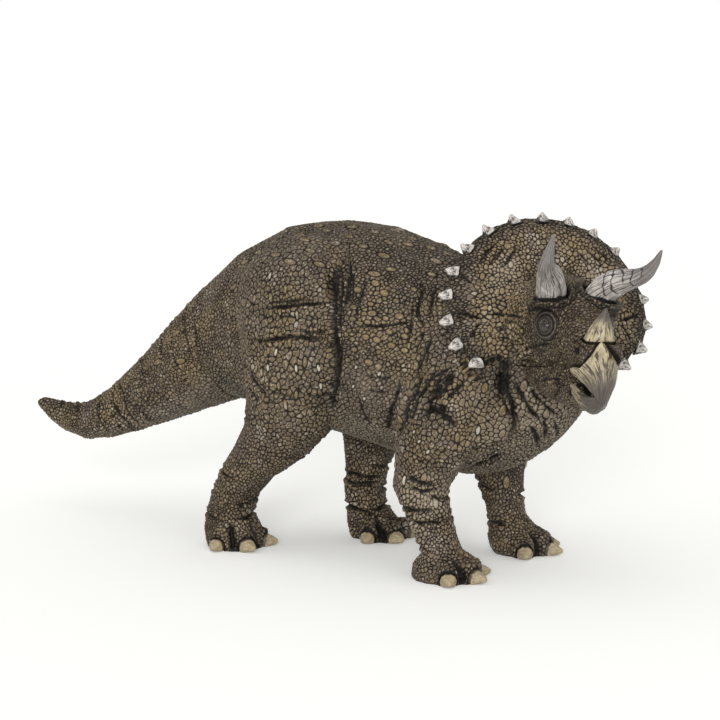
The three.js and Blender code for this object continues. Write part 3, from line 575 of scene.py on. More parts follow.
def mesh_of(name, points, quads):
    """The mesh that these points and quads make."""
    mesh = bpy.data.meshes.new(name)
    mesh.vertices.add(len(points))
    mesh.vertices.foreach_set("co", (points / MM).ravel())
    mesh.loops.add(quads.size)
    mesh.loops.foreach_set("vertex_index", quads.ravel().astype(np.int32))
    mesh.polygons.add(len(quads))
    mesh.polygons.foreach_set("loop_start", np.arange(0, quads.size, 4, dtype=np.int32))
    mesh.update(calc_edges=True)
    return mesh


def voxel_remeshed(mesh, voxel):
    """The mesh's surface as even quads of one size, in metres."""
    holder = bpy.data.objects.new("holder", mesh)
    bpy.context.scene.collection.objects.link(holder)
    modifier = holder.modifiers.new("even", "REMESH")
    modifier.mode = "VOXEL"
    modifier.voxel_size = voxel
    modifier.adaptivity = 0.0
    graph = bpy.context.evaluated_depsgraph_get()
    made = bpy.data.meshes.new_from_object(holder.evaluated_get(graph))
    bpy.data.objects.remove(holder)
    return made


def grown_copies(names, growth):
    """One bmesh with merged copies of these nodes, each grown outwards a little, in metres."""
    whole = bmesh.new()
    for name in names:
        copy = bmesh.new()
        copy.from_mesh(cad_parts[name].data)
        bmesh.ops.remove_doubles(copy, verts=copy.verts, dist=1e-6)
        copy.normal_update()
        for vertex in copy.verts:
            vertex.co += vertex.normal * growth
        part = bpy.data.meshes.new("part")
        copy.to_mesh(part)
        copy.free()
        whole.from_mesh(part)
        bpy.data.meshes.remove(part)
    return whole


def remeshed(names, growth, voxel):
    """The outer surface of these nodes as even quads: points in millimetres and corner numbers."""
    whole = grown_copies(names, growth)
    rough = bpy.data.meshes.new("rough")
    whole.to_mesh(rough)
    whole.free()
    points, quads = arrays_of(voxel_remeshed(rough, voxel))
    inside = Net(len(points), quads).largest()
    number = np.cumsum(inside) - 1
    return points[inside], number[quads[inside[quads[:, 0]]]]


def refined(mesh):
    """The mesh with each quad cut into four."""
    bm = bmesh.new()
    bm.from_mesh(mesh)
    bmesh.ops.subdivide_edges(bm, edges=bm.edges, cuts=1, use_grid_fill=True)
    bm.to_mesh(mesh)
    bm.free()
    return mesh


def set_point_colours(mesh, name, columns):
    """Stores up to four values per point under one name."""
    layer = mesh.attributes.new(name, "FLOAT_COLOR", "POINT")
    values = np.ones((len(mesh.vertices), 4), np.float32)
    for k, column in enumerate(columns):
        values[:, k] = column
    layer.data.foreach_set("color", values.ravel())


def close_borders(mesh, depth):
    """Turns each open border inwards and closes it with a fan, and keeps its edge crisp."""
    bm = bmesh.new()
    bm.from_mesh(mesh)
    bm.normal_update()
    border = [edge for edge in bm.edges if edge.is_boundary]
    for edge in border:
        edge.smooth = False
    inward = {vertex: vertex.normal.copy() for edge in border for vertex in edge.verts}
    turned = bmesh.ops.extrude_edge_only(bm, edges=border)["geom"]
    fresh = [item for item in turned if isinstance(item, bmesh.types.BMVert)]
    for vertex in fresh:
        others = (edge.other_vert(vertex) for edge in vertex.link_edges)
        source = next(other for other in others if other in inward)
        vertex.co -= inward[source] * depth
    edges = [item for item in turned if isinstance(item, bmesh.types.BMEdge) and item.is_boundary]
    edges = dict.fromkeys(edges)
    while edges:
        loop = [edges.popitem()[0]]
        ends = list(loop[0].verts)
        while ends:
            vertex = ends.pop()
            for edge in vertex.link_edges:
                if edge in edges:
                    del edges[edge]
                    loop.append(edge)
                    ends.append(edge.other_vert(vertex))
        middle = sum(((e.verts[0].co + e.verts[1].co) / 2 for e in loop), Vector()) / len(loop)
        pole = bm.verts.new(middle)
        for edge in loop:
            face = edge.link_faces[0]
            first = next(corner for corner in face.loops if corner.edge == edge)
            bm.faces.new((first.link_loop_next.vert, first.vert, pole))
    for face in bm.faces:
        face.smooth = True
    bm.to_mesh(mesh)
    bm.free()


def piece(name, mesh, material, nodes):
    """Adds a finished piece that stands for these nodes."""
    mesh.materials.clear()
    mesh.materials.append(material)
    thing = bpy.data.objects.new(name, mesh)
    bpy.context.scene.collection.objects.link(thing)
    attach(thing, "root")
    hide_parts(*nodes)
    return thing


# The skin's creases

class Creases:
    """Lines pressed into the skin, as close samples with a width, a depth, a lip and a darkness each; the
    darkness is a dark wash and painted shade.
    """

    def __init__(self, tree):
        self.tree = tree
        self.points, self.facts = [], []
        self.random = np.random.default_rng(7)

    def on_skin(self, points, reach):
        """These points moved to the nearest skin, where that is within reach."""
        moved = []
        for point in points:
            hit = self.tree.find_nearest(Vector(point), reach)
            if hit[0] is not None:
                moved.append(hit[0])
        return np.array(moved).reshape(-1, 3)

    def line(self, points, width, depth, lip, dark):
        """A crease along these points that runs out at both ends."""
        points = np.asarray(points, float)
        if len(points) < 4:
            return
        t = np.linspace(0.0, 1.0, len(points))
        strength = np.minimum(1.0, 3.5 * np.minimum(t, 1 - t) + 0.12)
        strength = strength * (0.85 + 0.15 * np.sin(t * 17 + self.random.uniform(0, 6)))
        self.points.append(points)
        dark = min(1.0, 1.4 * dark)
        facts = np.full((len(t), 4), (1.35 * width, 2.1 * depth, 2.2 * lip, dark))
        facts[:, 1:] *= strength[:, None]
        self.facts.append(facts)

    def seen(self, pixel):
        """The place on the skin that the photographer's camera sees at a pixel."""
        back = (CAMERA_PLACE - CAMERA_AIM) / np.linalg.norm(CAMERA_PLACE - CAMERA_AIM)
        right = np.cross((0, 0, 1), back)
        right /= np.linalg.norm(right)
        up = np.cross(back, right)
        middle = PICTURE / 2
        ray = -back * PIXELS_PER_SLOPE + right * (pixel[0] - middle) + up * (middle - pixel[1])
        hit = self.tree.ray_cast(Vector(CAMERA_PLACE), Vector(ray).normalized())
        return None if hit[0] is None else np.array(hit[0])

    def drawn(self, pixels, width, depth, lip, dark, twin):
        """A crease drawn over the photographed side, and the like of it on the far side."""
        pixels = np.asarray(pixels, float)
        run = np.concatenate([[0], np.cumsum(np.linalg.norm(np.diff(pixels, axis=0), axis=1))])
        at = np.arange(0, run[-1], 1.1)
        smooth = np.stack([np.interp(at, run, pixels[:, k]) for k in (0, 1)], 1)
        for _ in range(4):
            smooth[1:-1] = (smooth[:-2] + 2 * smooth[1:-1] + smooth[2:]) / 4
        wobble = np.cumsum(self.random.normal(0, 0.16, smooth.shape), axis=0)
        smooth += wobble - np.linspace(0, 1, len(smooth))[:, None] * wobble[-1]
        found = [place for place in (self.seen(pixel) for pixel in smooth) if place is not None]
        self.line(found, width, depth, lip, dark)
        if twin is not None and len(found) > 3:
            self.line(self.on_skin(twin(np.array(found)), 7.0), width, depth, lip, dark)

    def ring(self, centre, axis, start, sweep, width, depth, lip, dark, wave):
        """A crease that runs round a limb, over part of a turn."""
        axis = Vector(axis).normalized()
        side = axis.cross(Vector((0, 0, 1)) if abs(axis.z) < 0.8 else Vector((1, 0, 0))).normalized()
        above = side.cross(axis)
        phase = self.random.uniform(0, TURN, 2)
        found = []
        for angle in np.arange(start, start + sweep, 0.045):
            slide = wave * (math.sin(2.1 * angle + phase[0]) + 0.5 * math.sin(5.3 * angle + phase[1]))
            origin = Vector(centre) + axis * slide
            hit = self.tree.ray_cast(origin, side * math.cos(angle) + above * math.sin(angle), 60.0)
            if hit[0] is not None:
                found.append(hit[0])
        if len(found) > 3:
            self.line(found, width, depth, lip, dark)

    def measure(self, points):
        """Per point, from its nearest crease: height, darkness (a dark wash and painted shade) and how near
        the raised lip it is.
        """
        tree, facts = tree_of(np.vstack(self.points)), np.vstack(self.facts)
        nearest = np.empty(len(points), np.int64)
        away = np.empty(len(points))
        for k, point in enumerate(points.tolist()):
            _, nearest[k], away[k] = tree.find(point)
        width, depth, lip, dark = facts[nearest].T
        t = away / width
        raised = hump(t, 1.8, 0.75)
        darkness = dark * np.exp(-((t / 0.85) ** 2))
        return lip * raised - depth * np.exp(-t * t), darkness, np.minimum(2.5 * lip, 1.0) * raised


def middle_line(points, axis):
    """Levels every 2 mm along an axis and the middle of the points at each."""
    run = points[:, axis]
    levels = np.arange(run.min() + 1, run.max(), 2.0)
    return levels, np.array([points[np.abs(run - level) < 1.5].mean(0) for level in levels])


def ring_tail(creases, levels, centres, random):
    """Wrinkles round the tail, two at each level, over part of a turn."""
    slope = np.gradient(centres, axis=0)
    level, end = TAIL_RINGS
    while level < end:
        k = int(np.argmin(np.abs(levels - level)))
        for _ in range(2):
            start = random.uniform(0, TURN)
            centre = centres[k] + (random.uniform(-1, 1), 0, 0)
            sweep, width, depth = (random.uniform(*span) for span in ((1.0, 2.8), (0.3, 0.55), (0.25, 0.6)))
            creases.ring(centre, slope[k], start, sweep, width, depth, 0.18, random.uniform(0.5, 1.0), 0.8)
        level += random.uniform(1.6, 3.4)


def ring_leg(creases, levels, centres, rings, random):
    """Wrinkles round a leg, longer, deeper and closer near the foot."""
    level, end = rings
    while level < end:
        k = int(np.argmin(np.abs(levels - level)))
        near = ramp(level, 30.0, 16.0)
        creases.ring(centres[k] + (0, 0, random.uniform(-1, 1)), (0.1, 0, 1), random.uniform(0, TURN),
                     random.uniform(1.0, 2.2) + 1.6 * near, 0.45, 0.22 + 0.33 * near, 0.12 + 0.14 * near,
                     0.5 + 0.3 * near, 0.5)
        level += random.uniform(1.8, 3.2) + 2.6 * (1 - near)


def trace_creases(tree, points, label):
    """All the folds and wrinkles of the figure."""
    creases = Creases(tree)
    for folds, twin in ((THIGH_FOLDS, other_side), (FLANK_FOLDS, other_side), (NECK_FOLDS, other_side),
                        (THROAT_FOLDS, None), (SHOULDER_FOLDS, other_side), (CHEST_FOLDS, None),
                        (ELBOW_FOLDS, other_side), (FACE_FOLDS, other_cheek)):
        for pixels, width, depth, lip, dark in folds:
            creases.drawn(pixels, width, depth, lip, dark, twin)
    random = np.random.default_rng(11)
    ring_tail(creases, *middle_line(points[label == TAIL], 0), random)
    for leg, rings in ((FORE_RIGHT, FORE_RINGS), (FORE_LEFT, FORE_RINGS),
                       (HIND_RIGHT, HIND_RINGS), (HIND_LEFT, HIND_RINGS)):
        ring_leg(creases, *middle_line(points[label == leg], 2), rings, random)
    return creases


# The skin's scales

class Scales:
    """Cells over the skin. Each has a seed, a size, and a direction that it is stretched in."""

    def __init__(self, points):
        self.points, self.tree = points, tree_of(points)
        self.free = np.ones(len(points), bool)
        self.own = np.full(len(points), FAR)
        self.owner = np.zeros(len(points), np.int64)
        self.tone, self.bright = [], []

    def scute(self, place, along, half_length, half_width, bright):
        """A large oval scale of its own."""
        found = self.tree.find_range(place, half_length + 1.3)
        near = np.array([entry[1] for entry in found], np.int64)
        away = self.points[near] - place
        run = away @ along
        across = np.sqrt(np.maximum((away * away).sum(1) - run * run, 0.0))
        reach = np.sqrt((run / half_length) ** 2 + (across / half_width) ** 2)
        edge = (reach - 1.0) * half_width
        self.free[near[edge < 0.35]] = False
        inside = near[reach < 1.0]
        self.owner[inside] = len(self.tone)
        self.own[inside] = reach[reach < 1.0]
        self.tone.append(0.8)
        self.bright.append(bright)
        return near, edge

    def fill(self, spacing, stretch, ratio, bright, seed):
        """Scales of the given spacing wherever no scute lies."""
        random = np.random.default_rng(seed)
        scuted = self.own < 1.0
        count = len(self.points)
        wide = spacing * random.uniform(0.68, 1.3, count)
        seeds = []
        for k in random.permutation(count):
            if self.free[k]:
                seeds.append(k)
                for _, j, _ in self.tree.find_range(self.points[k], wide[k]):
                    self.free[j] = False
        seeds = np.array(seeds)
        tree = tree_of(self.points[seeds])
        nearest = np.empty((count, NEIGHBOURS), np.int64)
        for k, point in enumerate(self.points.tolist()):
            nearest[k] = [entry[1] for entry in tree.find_n(point, NEIGHBOURS)]
        best = np.empty((count, NEIGHBOURS))
        size = wide[seeds] * random.uniform(0.85, 1.15, len(seeds))
        ratio = ratio[seeds] * random.uniform(0.85, 1.35, len(seeds))
        for column in range(NEIGHBOURS):
            chosen = nearest[:, column]
            at = seeds[chosen]
            away = self.points - self.points[at]
            run = (away * stretch[at]).sum(1)
            total = (away * away).sum(1)
            far = np.sqrt(np.maximum(total - run * run, 0.0) * ratio[chosen] + run * run / ratio[chosen])
            best[:, column] = far / size[chosen]
        order = np.argsort(best, axis=1)
        rows = np.arange(count)
        first, second = best[rows, order[:, 0]], best[rows, order[:, 1]]
        edge = 0.5 * (second - first) * spacing
        start = len(self.tone)
        self.owner = np.where(scuted, self.owner, start + nearest[rows, order[:, 0]])
        self.own = np.where(scuted, self.own, first)
        self.tone = np.concatenate([self.tone, random.uniform(0.0, 1.0, len(seeds))])
        self.bright = np.concatenate([self.bright, bright[seeds] * random.uniform(0.55, 1.0, len(seeds))])
        return np.where(scuted, FAR, edge)


def unit(vectors):
    """These directions at length one."""
    return vectors / np.maximum(np.linalg.norm(vectors, axis=1), 1e-9)[:, None]


def tangents(normals, wish):
    """The wished directions laid flat on the skin."""
    return unit(wish - normals * (normals * wish).sum(1)[:, None])


def blob_field(creases, points, blobs, twin):
    """Soft round patches placed by pixel on the photographed side, and repeated on the far side."""
    total = np.zeros(len(points))
    for x, y, radius, amount in blobs:
        place = creases.seen((x, y))
        if place is None:
            continue
        for at in (place, twin(place[None])[0]):
            away = np.sqrt(((points - at) ** 2).sum(1))
            total = np.maximum(total, amount * ramp(away, radius, radius * 0.25))
    return total


def paint_masks(creases, points):
    """How strongly each paint lies on each point."""
    paints = (("gold", GOLD_PATCHES, other_side), ("grey", GREY_PATCHES, other_side),
              ("dark", DARK_PAINT_AND_SHADE_PATCHES, other_side), ("cream", CREAM_PATCHES, other_cheek))
    return {name: blob_field(creases, points, patches, twin) for name, patches, twin in paints}


class Regions:
    """Which part of the animal each point of the skin is on, and which way it faces."""

    def __init__(self, points, normals, label):
        self.points, self.normals, self.label = points, normals, label
        self.head = in_head(points)
        self.frill = in_frill(self.head)
        self.radial = np.hypot(self.frill[:, 1], self.frill[:, 2])
        self.is_head = (label == HEAD) | (label == JAW)
        on_frill = (label == HEAD) * ramp(self.radial, 10.0, 14.0) * (self.head[:, 0] < 8)
        back = (label == HEAD) & (self.head[:, 0] < 2)
        self.on_frill = np.where(back, np.maximum(on_frill, ramp(self.radial, 6, 12)), on_frill)
        self.face = self.is_head * (1.0 - self.on_frill)
        self.torso = (label == TORSO_RIGHT) | (label == TORSO_LEFT)
        self.hind = (label == HIND_RIGHT) | (label == HIND_LEFT)
        self.fore = (label == FORE_RIGHT) | (label == FORE_LEFT)
        self.tail = label == TAIL
        self.down = ramp(-normals[:, 2], 0.25, 0.7)
        self.up = ramp(normals[:, 2], 0.35, 0.8)
        c, s = math.cos(FRILL_TILT), math.sin(FRILL_TILT)
        across, above = self.frill[:, 1], self.frill[:, 2]
        self.outward = np.stack([-above * s, across, above * c], 1) @ HEAD_TURN.T


def spacing_of(r, settings):
    """Spacing of the small scales, in millimetres."""
    x, _, z = r.points.T
    frill_middle = r.on_frill * 0.22 * ramp(r.radial, 27, 22) * ramp(r.radial, 10, 17)
    spacing = np.full(len(r.points), 0.92)
    spacing = np.where(r.torso, 0.95 - 0.12 * r.down, spacing)
    spacing = np.where(r.torso & (x > 42), 0.85 + 0.3 * ramp(z, 80, 60) * (1 - r.down), spacing)
    spacing = np.where(r.hind, 0.86 + 0.34 * ramp(z, 30, 52), spacing)
    spacing = np.where(r.fore, 0.84 + 0.3 * ramp(z, 20, 40), spacing)
    spacing = np.where(r.tail, 0.85, spacing)
    spacing = np.where(r.is_head, 0.76 + frill_middle, spacing)
    return spacing * (1.0 + 0.26 * lumps(r.points, 6.0, 3)) * settings.scale_size


def stretch_of(r):
    """The directions in which the small scales are drawn out, and how much longer than wide they are."""
    wish = np.tile((1.0, 0.0, 0.15), (len(r.points), 1))
    wish[r.hind | r.fore] = (0.1, 0.0, 1.0)
    wish[r.is_head] = r.outward[r.is_head]
    wish += 0.5 * np.stack([lumps(r.points, 9.0, seed) for seed in (21, 22, 23)], 1)
    ratio = np.full(len(r.points), 1.12)
    ratio = np.where(r.torso & (r.down > 0.3), 1.5, ratio)
    ratio = np.where(r.on_frill > 0.5, 1.2 + 0.5 * ramp(r.radial, 20, 26), ratio)
    return tangents(r.normals, wish), ratio


def paint_of(r, washes, cuff):
    """Strength of the gold, grey, dark and pale paint, and how calm and fine the scales look; the dark also
    holds painted shade.
    """
    p, head, z = r.points, r.head, r.points[:, 2]
    mottle, patchy = lumps(p, 6.0, 5), lumps(p, 3.6, 51)
    lobes = ramp(r.radial, 27, 19) * (0.35 + 0.65 * ramp(np.abs(r.frill[:, 1]), 2, 9))
    gold = np.where(r.is_head, r.on_frill * lobes * 0.95 + r.face * 0.42, washes["gold"])
    gold = np.clip(gold * (0.85 + 0.4 * mottle + 0.5 * patchy) + 0.14 + 0.1 * mottle, 0, 1)
    grey = np.where(r.is_head, 0.0, washes["grey"]) * (0.75 + 0.4 * lumps(p, 2.5, 8))

    from_eye = np.stack([head[:, 0], np.abs(head[:, 1]), head[:, 2]], 1) - EYE_SMOKE
    smoky = np.maximum(0.5 * ramp(np.linalg.norm(from_eye, axis=1), 12.0, 3.0),
                       0.35 * ramp(head[:, 0], 22, 34) * ramp(head[:, 2], -4, 2))
    rim = 0.85 * r.on_frill * ramp(r.radial, 22.5, 27.5)
    dark = np.where(r.is_head, np.maximum(rim, (0.02 + 0.85 * smoky) * r.face), washes["dark"])
    ridge = 0.8 * r.torso * ramp(z, 80, 95) + 0.45 * r.tail * r.up + 0.4 * r.hind * ramp(z, 78, 92)
    dark = np.maximum(dark, ridge)
    dark = np.clip((1.25 * dark + 0.24 * (r.torso | r.hind)) * (1 + 0.4 * lumps(p, 4.0, 9)), 0, 1)

    pale = np.where(r.torso | r.tail, r.down * 0.6, r.down * 0.2) * (1 - 0.4 * r.is_head)
    pale = np.maximum(pale, r.is_head * 0.5 * ramp(head[:, 2], -14, -19))
    pale = np.maximum(pale, washes["cream"] * (0.75 + 0.35 * patchy))
    pale = np.maximum(pale, 0.5 * hump(cuff, 1.7, 0.4) * ramp(lumps(p, 0.9, 54), -0.2, 0.3))
    calm = np.clip(r.torso * ramp(z, 86, 97) * (0.4 + 0.4 * lumps(p, 5.0, 52)), 0, 0.5)
    return gold, grey, dark, pale, np.maximum(calm, 0.2 * r.face + 0.4 * grey)


class Scutes:
    """The large oval scales of back, thighs, flanks, legs, tail and frill."""

    def __init__(self, regions):
        count = len(regions.points)
        self.regions = regions
        self.scales = Scales(regions.points)
        self.random = np.random.default_rng(31)
        self.edge = np.full(count, FAR)
        self.raised, self.chalk = np.zeros(count), np.zeros(count)
        self.places = []

    def add(self, k, half_length, half_width, along, wander, size, shine):
        """One scute at point k. Gives the points near it and how far outside its edge they lie."""
        place, normal = self.regions.points[k], self.regions.normals[k]
        self.places.append(place)
        grow = self.random.uniform(*size)
        direction = tangents(normal[None], np.array(along)[None] + self.random.normal(0, wander, (1, 3)))[0]
        bright = shine[0] * self.random.uniform(shine[1], 1.0)
        near, edge = self.scales.scute(place, direction, half_length * grow, half_width * grow, bright)
        self.edge[near] = np.minimum(self.edge[near], np.abs(edge))
        self.raised[near] = np.maximum(self.raised[near], ramp(edge, 0.1, -0.75 * half_width))
        return near, edge

    def set_down(self, creases):
        """The scutes with a place of their own, and the like of them on the far side."""
        for pixels, half_length, half_width, along, shine, chalky in PLACED_SCUTES:
            found = [place for place in (creases.seen(pixel) for pixel in pixels) if place is not None]
            for place in (each for near in found for each in (near, other_side(near[None])[0])):
                k = self.scales.tree.find(Vector(place))[1]
                near, edge = self.add(k, half_length, half_width, along, 0.12, (0.85, 1.15), (shine, 0.7))
                if chalky:
                    self.chalk[near[edge < -0.15 * half_width]] = chalky * self.random.uniform(0.6, 1.0)

    def strew(self, mask, gap, half_length, half_width, along, shine, count, chalky=0.0):
        """Scatters up to count scutes over part of the skin, no two nearer than the gap."""
        made = 0
        for k in self.random.permutation(np.flatnonzero(mask))[: 60 * count]:
            away = np.array(self.places) - self.regions.points[k]
            if ((away ** 2).sum(1) < gap * gap).any():
                continue
            near, edge = self.add(k, half_length, half_width, along, 0.16, (0.75, 1.15), (shine, 0.45))
            if self.random.uniform() < chalky:
                self.chalk[near[edge < -0.2 * half_width]] = self.random.uniform(0.5, 1.0)
            made += 1
            if made == count:
                break

    def strew_all(self, clear):
        """Scutes on shoulder, forelegs, the tail's root and the frill's front, away from the folds."""
        r = self.regions
        x, _, z = r.points.T
        shoulder = r.torso & clear & (z > 40) & (z < 80) & (x > 48) & (r.down < 0.2)
        foreleg = r.fore & clear & (z > 20) & (z < 52) & (r.down < 0.3)
        frill = (r.label == HEAD) & (r.on_frill > 0.9) & (r.radial < 24) & (r.frill[:, 0] > 0)
        self.strew(shoulder, 6.5, 1.7, 0.95, (0.3, 0, 1), 0.7, 30)
        self.strew(foreleg, 6.5, 1.9, 0.9, (0.1, 0, 1), 0.7, 26, 0.3)
        self.strew(r.tail & clear & (x > -66) & (z > 50), 8.0, 2.2, 0.8, (1, 0, 0.4), 0.7, 12)
        self.strew(frill, 2.9, 1.05, 0.72, (0, 0.3, 1), 0.95, 120)


class SkinModel:
    """The whole skin as one fine surface, worked out once and then shared out to its pieces."""

    def __init__(self, settings):
        under = ("eye_right", "eye_left", "upper_beak", "lower_beak", *KNOBS)
        points, quads = remeshed(SKIN_NODES + under, SKIN_GROWTH, settings.voxel)
        net = Net(len(points), quads)
        head = in_head(points)
        frill = in_frill(head)
        radial = np.hypot(frill[:, 1], frill[:, 2])
        rim = ramp(radial, 24.0, 27.0) * (np.abs(frill[:, 0]) < 7)
        foot = ramp(points[:, 2], 9.0, 5.0)
        ahead, aside, above = CHEEK_SPIKE
        spike = np.maximum(*(ramp(np.linalg.norm(head - (ahead, aside * side, above), axis=1), 6.0, 4.0)
                             for side in (-1, 1)))
        for name in KNOBS:
            rim *= ramp(np.linalg.norm(points - middle_of(name), axis=1), 1.8, 3.6)
        hold = 1.0 - 0.7 * np.maximum(np.maximum(rim, foot), spike)
        points = net.relax(points, settings.smoothing, hold)
        floor = points[:, 2] < 0.4
        points[floor, 2] = np.maximum(points[floor, 2] * 0.2, 0.0)
        label = self.name_faces(points, quads)
        self.tree = BVHTree.FromPolygons(points.tolist(), quads.tolist())
        rough = mesh_of("even", points, quads)
        marks = rough.attributes.new("label", "INT", "FACE")
        marks.data.foreach_set("value", label.astype(np.int32))
        washes = paint_masks(Creases(self.tree), points)
        for name, values in washes.items():
            layer = rough.attributes.new(name, "FLOAT", "POINT")
            layer.data.foreach_set("value", values.astype(np.float32))
        fine = refined(rough)
        self.points, self.quads = arrays_of(fine)
        self.label = np.empty(len(self.quads), np.int32)
        fine.attributes["label"].data.foreach_get("value", self.label)
        self.washes = {}
        for name in washes:
            values = np.empty(len(self.points), np.float32)
            fine.attributes[name].data.foreach_get("value", values)
            self.washes[name] = values.astype(float)
        self.net = Net(len(self.points), self.quads)
        self.points = self.net.relax(self.points, 3)
        self.normals = normals_of(self.points, self.quads)
        self.point_label = np.zeros(len(self.points), np.int32)
        self.point_label[self.quads.ravel()] = np.repeat(self.label, 4)
        self.shape(settings)

    def name_faces(self, points, quads):
        """Which node each face belongs to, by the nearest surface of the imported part."""
        tree, owner = surface_of(SKIN_NODES)
        centres = points[quads].mean(1)
        label = np.array([SKIN_NODES.index(owner[tree.find_nearest(Vector(c))[2]]) for c in centres])
        for _ in range(8):
            votes = np.zeros((len(points), len(SKIN_NODES)))
            for corner in range(4):
                np.add.at(votes, (quads[:, corner], label), 1)
            label = votes[quads].sum(1).argmax(1)
        torso = (label == TORSO_RIGHT) | (label == TORSO_LEFT)
        label[torso] = np.where(centres[torso, 1] < MIDDLE_Y, TORSO_RIGHT, TORSO_LEFT)
        return label

    def shape(self, settings):
        """Presses scales, folds and hollows into the skin and works out its paint channels."""
        p, r = self.points, Regions(self.points, self.normals, self.point_label)
        creases = trace_creases(self.tree, p, r.label)
        fold, fold_wash_and_shade, lips = creases.measure(p)
        collar, pedestal, cuff = self.collars(p)
        gold, grey, dark, pale, calm = paint_of(r, self.washes, cuff)
        scutes = Scutes(r)
        scutes.set_down(creases)
        scutes.strew_all(fold_wash_and_shade < 0.2)
        scales = scutes.scales
        edge = scales.fill(spacing_of(r, settings), *stretch_of(r), gold, 17)
        edge = np.minimum(edge, scutes.edge)
        bright = np.clip(scales.bright[scales.owner] + 0.4 * lips, 0, 1)
        groove_width = 0.28 + 0.09 * lumps(p, 1.6, 53)
        top = 1 - (1 - ramp(edge, 0.0, groove_width)) * (1 - 0.75 * calm)
        rim = np.clip(1 - (edge - 0.25) / 0.45, 0, 1)
        toes, clefts = self.toes(p)

        height = self.scale_relief(r, settings, scales, scutes, top) + fold
        height += 0.22 * lumps(p, 11.0, 41) + 0.1 * lumps(p, 4.5, 42)
        height += 0.35 * r.on_frill * lumps(p, 7.0, 44)
        height += self.hollows(creases) * (1 - self.net.spread(r.is_head * 1.0, 6)) + toes
        height += 1.3 * hump(cuff, 1.7, 0.6) - 0.8 * hump(cuff, 0.55, 0.4) - 0.3 * collar
        height += 0.3 * hump(cuff, 1.7, 0.7) * lumps(p, 0.9, 54)
        height *= ramp(p[:, 2], 0.2, 1.5)
        height *= 1 - 0.65 * (r.label == HEAD) * ramp(r.radial, 25.5, 28)
        grow = (r.label == HEAD) * ramp(r.radial, 24.5, 27.5) * (0.12 + 0.85 * pedestal)
        self.points = p + self.normals * height[:, None] + unit(r.outward) * grow[:, None]
        self.seat_knobs()
        mouth = self.tuck_under_beak()
        across, beads = self.shape_eyes()
        nostril = self.carve_nostrils()
        self.points = clipped(self.points)
        self.points[:, 2] = np.where(p[:, 2] < 0.5, np.maximum(p[:, 2], 0.0), self.points[:, 2])

        round_eye = ramp(across, 4.9, 4.2)
        dark = np.maximum(dark * (1 - 0.6 * scutes.raised), 0.9 * ramp(cuff, 3.4, 2.6))
        dark = np.maximum(dark, 0.85 * ramp(across, 5.6, 4.6))
        # Painted shade in the folds, under the frill, between the toes, in recesses, the nostrils and the
        # mouth, with the dark seam lines round the horns, knobs and nails; it is the Scale channel's fourth
        # value.
        shade_and_seam_lines = [fold_wash_and_shade, blob_field(creases, p, FRILL_PAINTED_SHADE, other_cheek), clefts,
                  ramp(cuff, 1.15, 0.7), 0.75 * hump(cuff, 2.8, 0.35),
                  np.maximum(self.recesses(), 0.85 * collar) * (1 - round_eye), nostril, mouth]
        self.channels = {
            "Chalk": (scutes.chalk, 0.5 + 0.5 * beads, np.clip(across / EYE_CHANNEL_REACH, 0, 1), rim),
            "Scale": (np.maximum(top, round_eye), scales.tone[scales.owner], bright * (1 - round_eye),
                      np.clip(np.maximum.reduce(shade_and_seam_lines), 0, 1)),
            "Paint": (np.clip(grey, 0, 1), np.clip(pale, 0, 1), dark,
                      np.clip(0.62 * r.face + 0.3 * r.down + 0.9 * calm, 0, 1)),
        }

    def scale_relief(self, r, settings, scales, scutes, top):
        """Height of the domed scales and the scutes over the plain skin."""
        depth = np.where(r.is_head, 0.14 + 0.06 * r.on_frill, 0.2) * settings.relief
        dome = 1.0 - np.clip(scales.own / 0.75, 0, 1) ** 2
        return depth * (top - 1.0) + 0.55 * depth * dome * top + 0.3 * scutes.raised

    def recesses(self):
        """How deep each point lies below the skin around it, for the dark wash that gathers there and the
        painted shade in the recesses.
        """
        soft = self.net.spread(self.points, 10)
        softer = self.net.spread(soft, 30)
        return 0.9 * ramp(((softer - soft) * normals_of(soft, self.quads)).sum(1), 0.02, 0.5)

    def tuck_under_beak(self):
        """Draws the skin in under the beak and into the mouth. Gives the painted shade in the mouth and the
        dark outline round the beak.
        """
        q = in_head(self.points)
        z = q[:, 2]
        out_up, angle_up = in_beak(UPPER_BEAK, q)
        out_low, angle_low = in_beak(LOWER_BEAK, q)
        lip, edge = curve(*UPPER_BEAK["bottom"])(angle_up), curve(*LOWER_BEAK["top"])(angle_low)
        top, base = curve(*UPPER_BEAK["top"])(angle_up), curve(*LOWER_BEAK["bottom"])(angle_low)
        upper = z > (lip + edge) / 2
        out, angle = np.where(upper, out_up, out_low), np.where(upper, angle_up, angle_low)
        share = ramp(angle, 96, 88) * ramp(z, top + 0.2, top - 0.5) * ramp(z, base - 0.2, base + 0.5)
        share *= (self.point_label == HEAD) | (self.point_label == JAW)
        slit = ramp(z, edge - 0.5, edge + 0.1) * ramp(z, lip + 0.5, lip - 0.1) * share
        want = np.minimum(out, 0.88 - 0.12 * slit)
        squeeze = 1 + (want / np.maximum(out, 0.1) - 1) * share
        for which, shape in ((upper, UPPER_BEAK), (~upper, LOWER_BEAK)):
            at = which & (share > 0)
            x, y, height = q[at].T
            middle = curve(*shape["front"])(height) - curve(*shape["length"])(height)
            lean = beak_lean(shape, x)
            q[at, 0] = middle + (x - middle) * squeeze[at]
            q[at, 1] = (y + lean) * squeeze[at] - lean
        moved = share > 0
        self.points[moved] = out_of_head(q[moved])
        skin = ((self.point_label == HEAD) | (self.point_label == JAW)) * (q[:, 0] > 27) * (out < 1.5)
        ahead = ramp(angle, 99, 93)
        outline = upper * ramp(np.abs(z - top - 0.35), 0.8, 0.3) * ahead
        outline = np.maximum(outline, ~upper * ramp(np.abs(z - base + 0.35), 0.8, 0.3) * ahead)
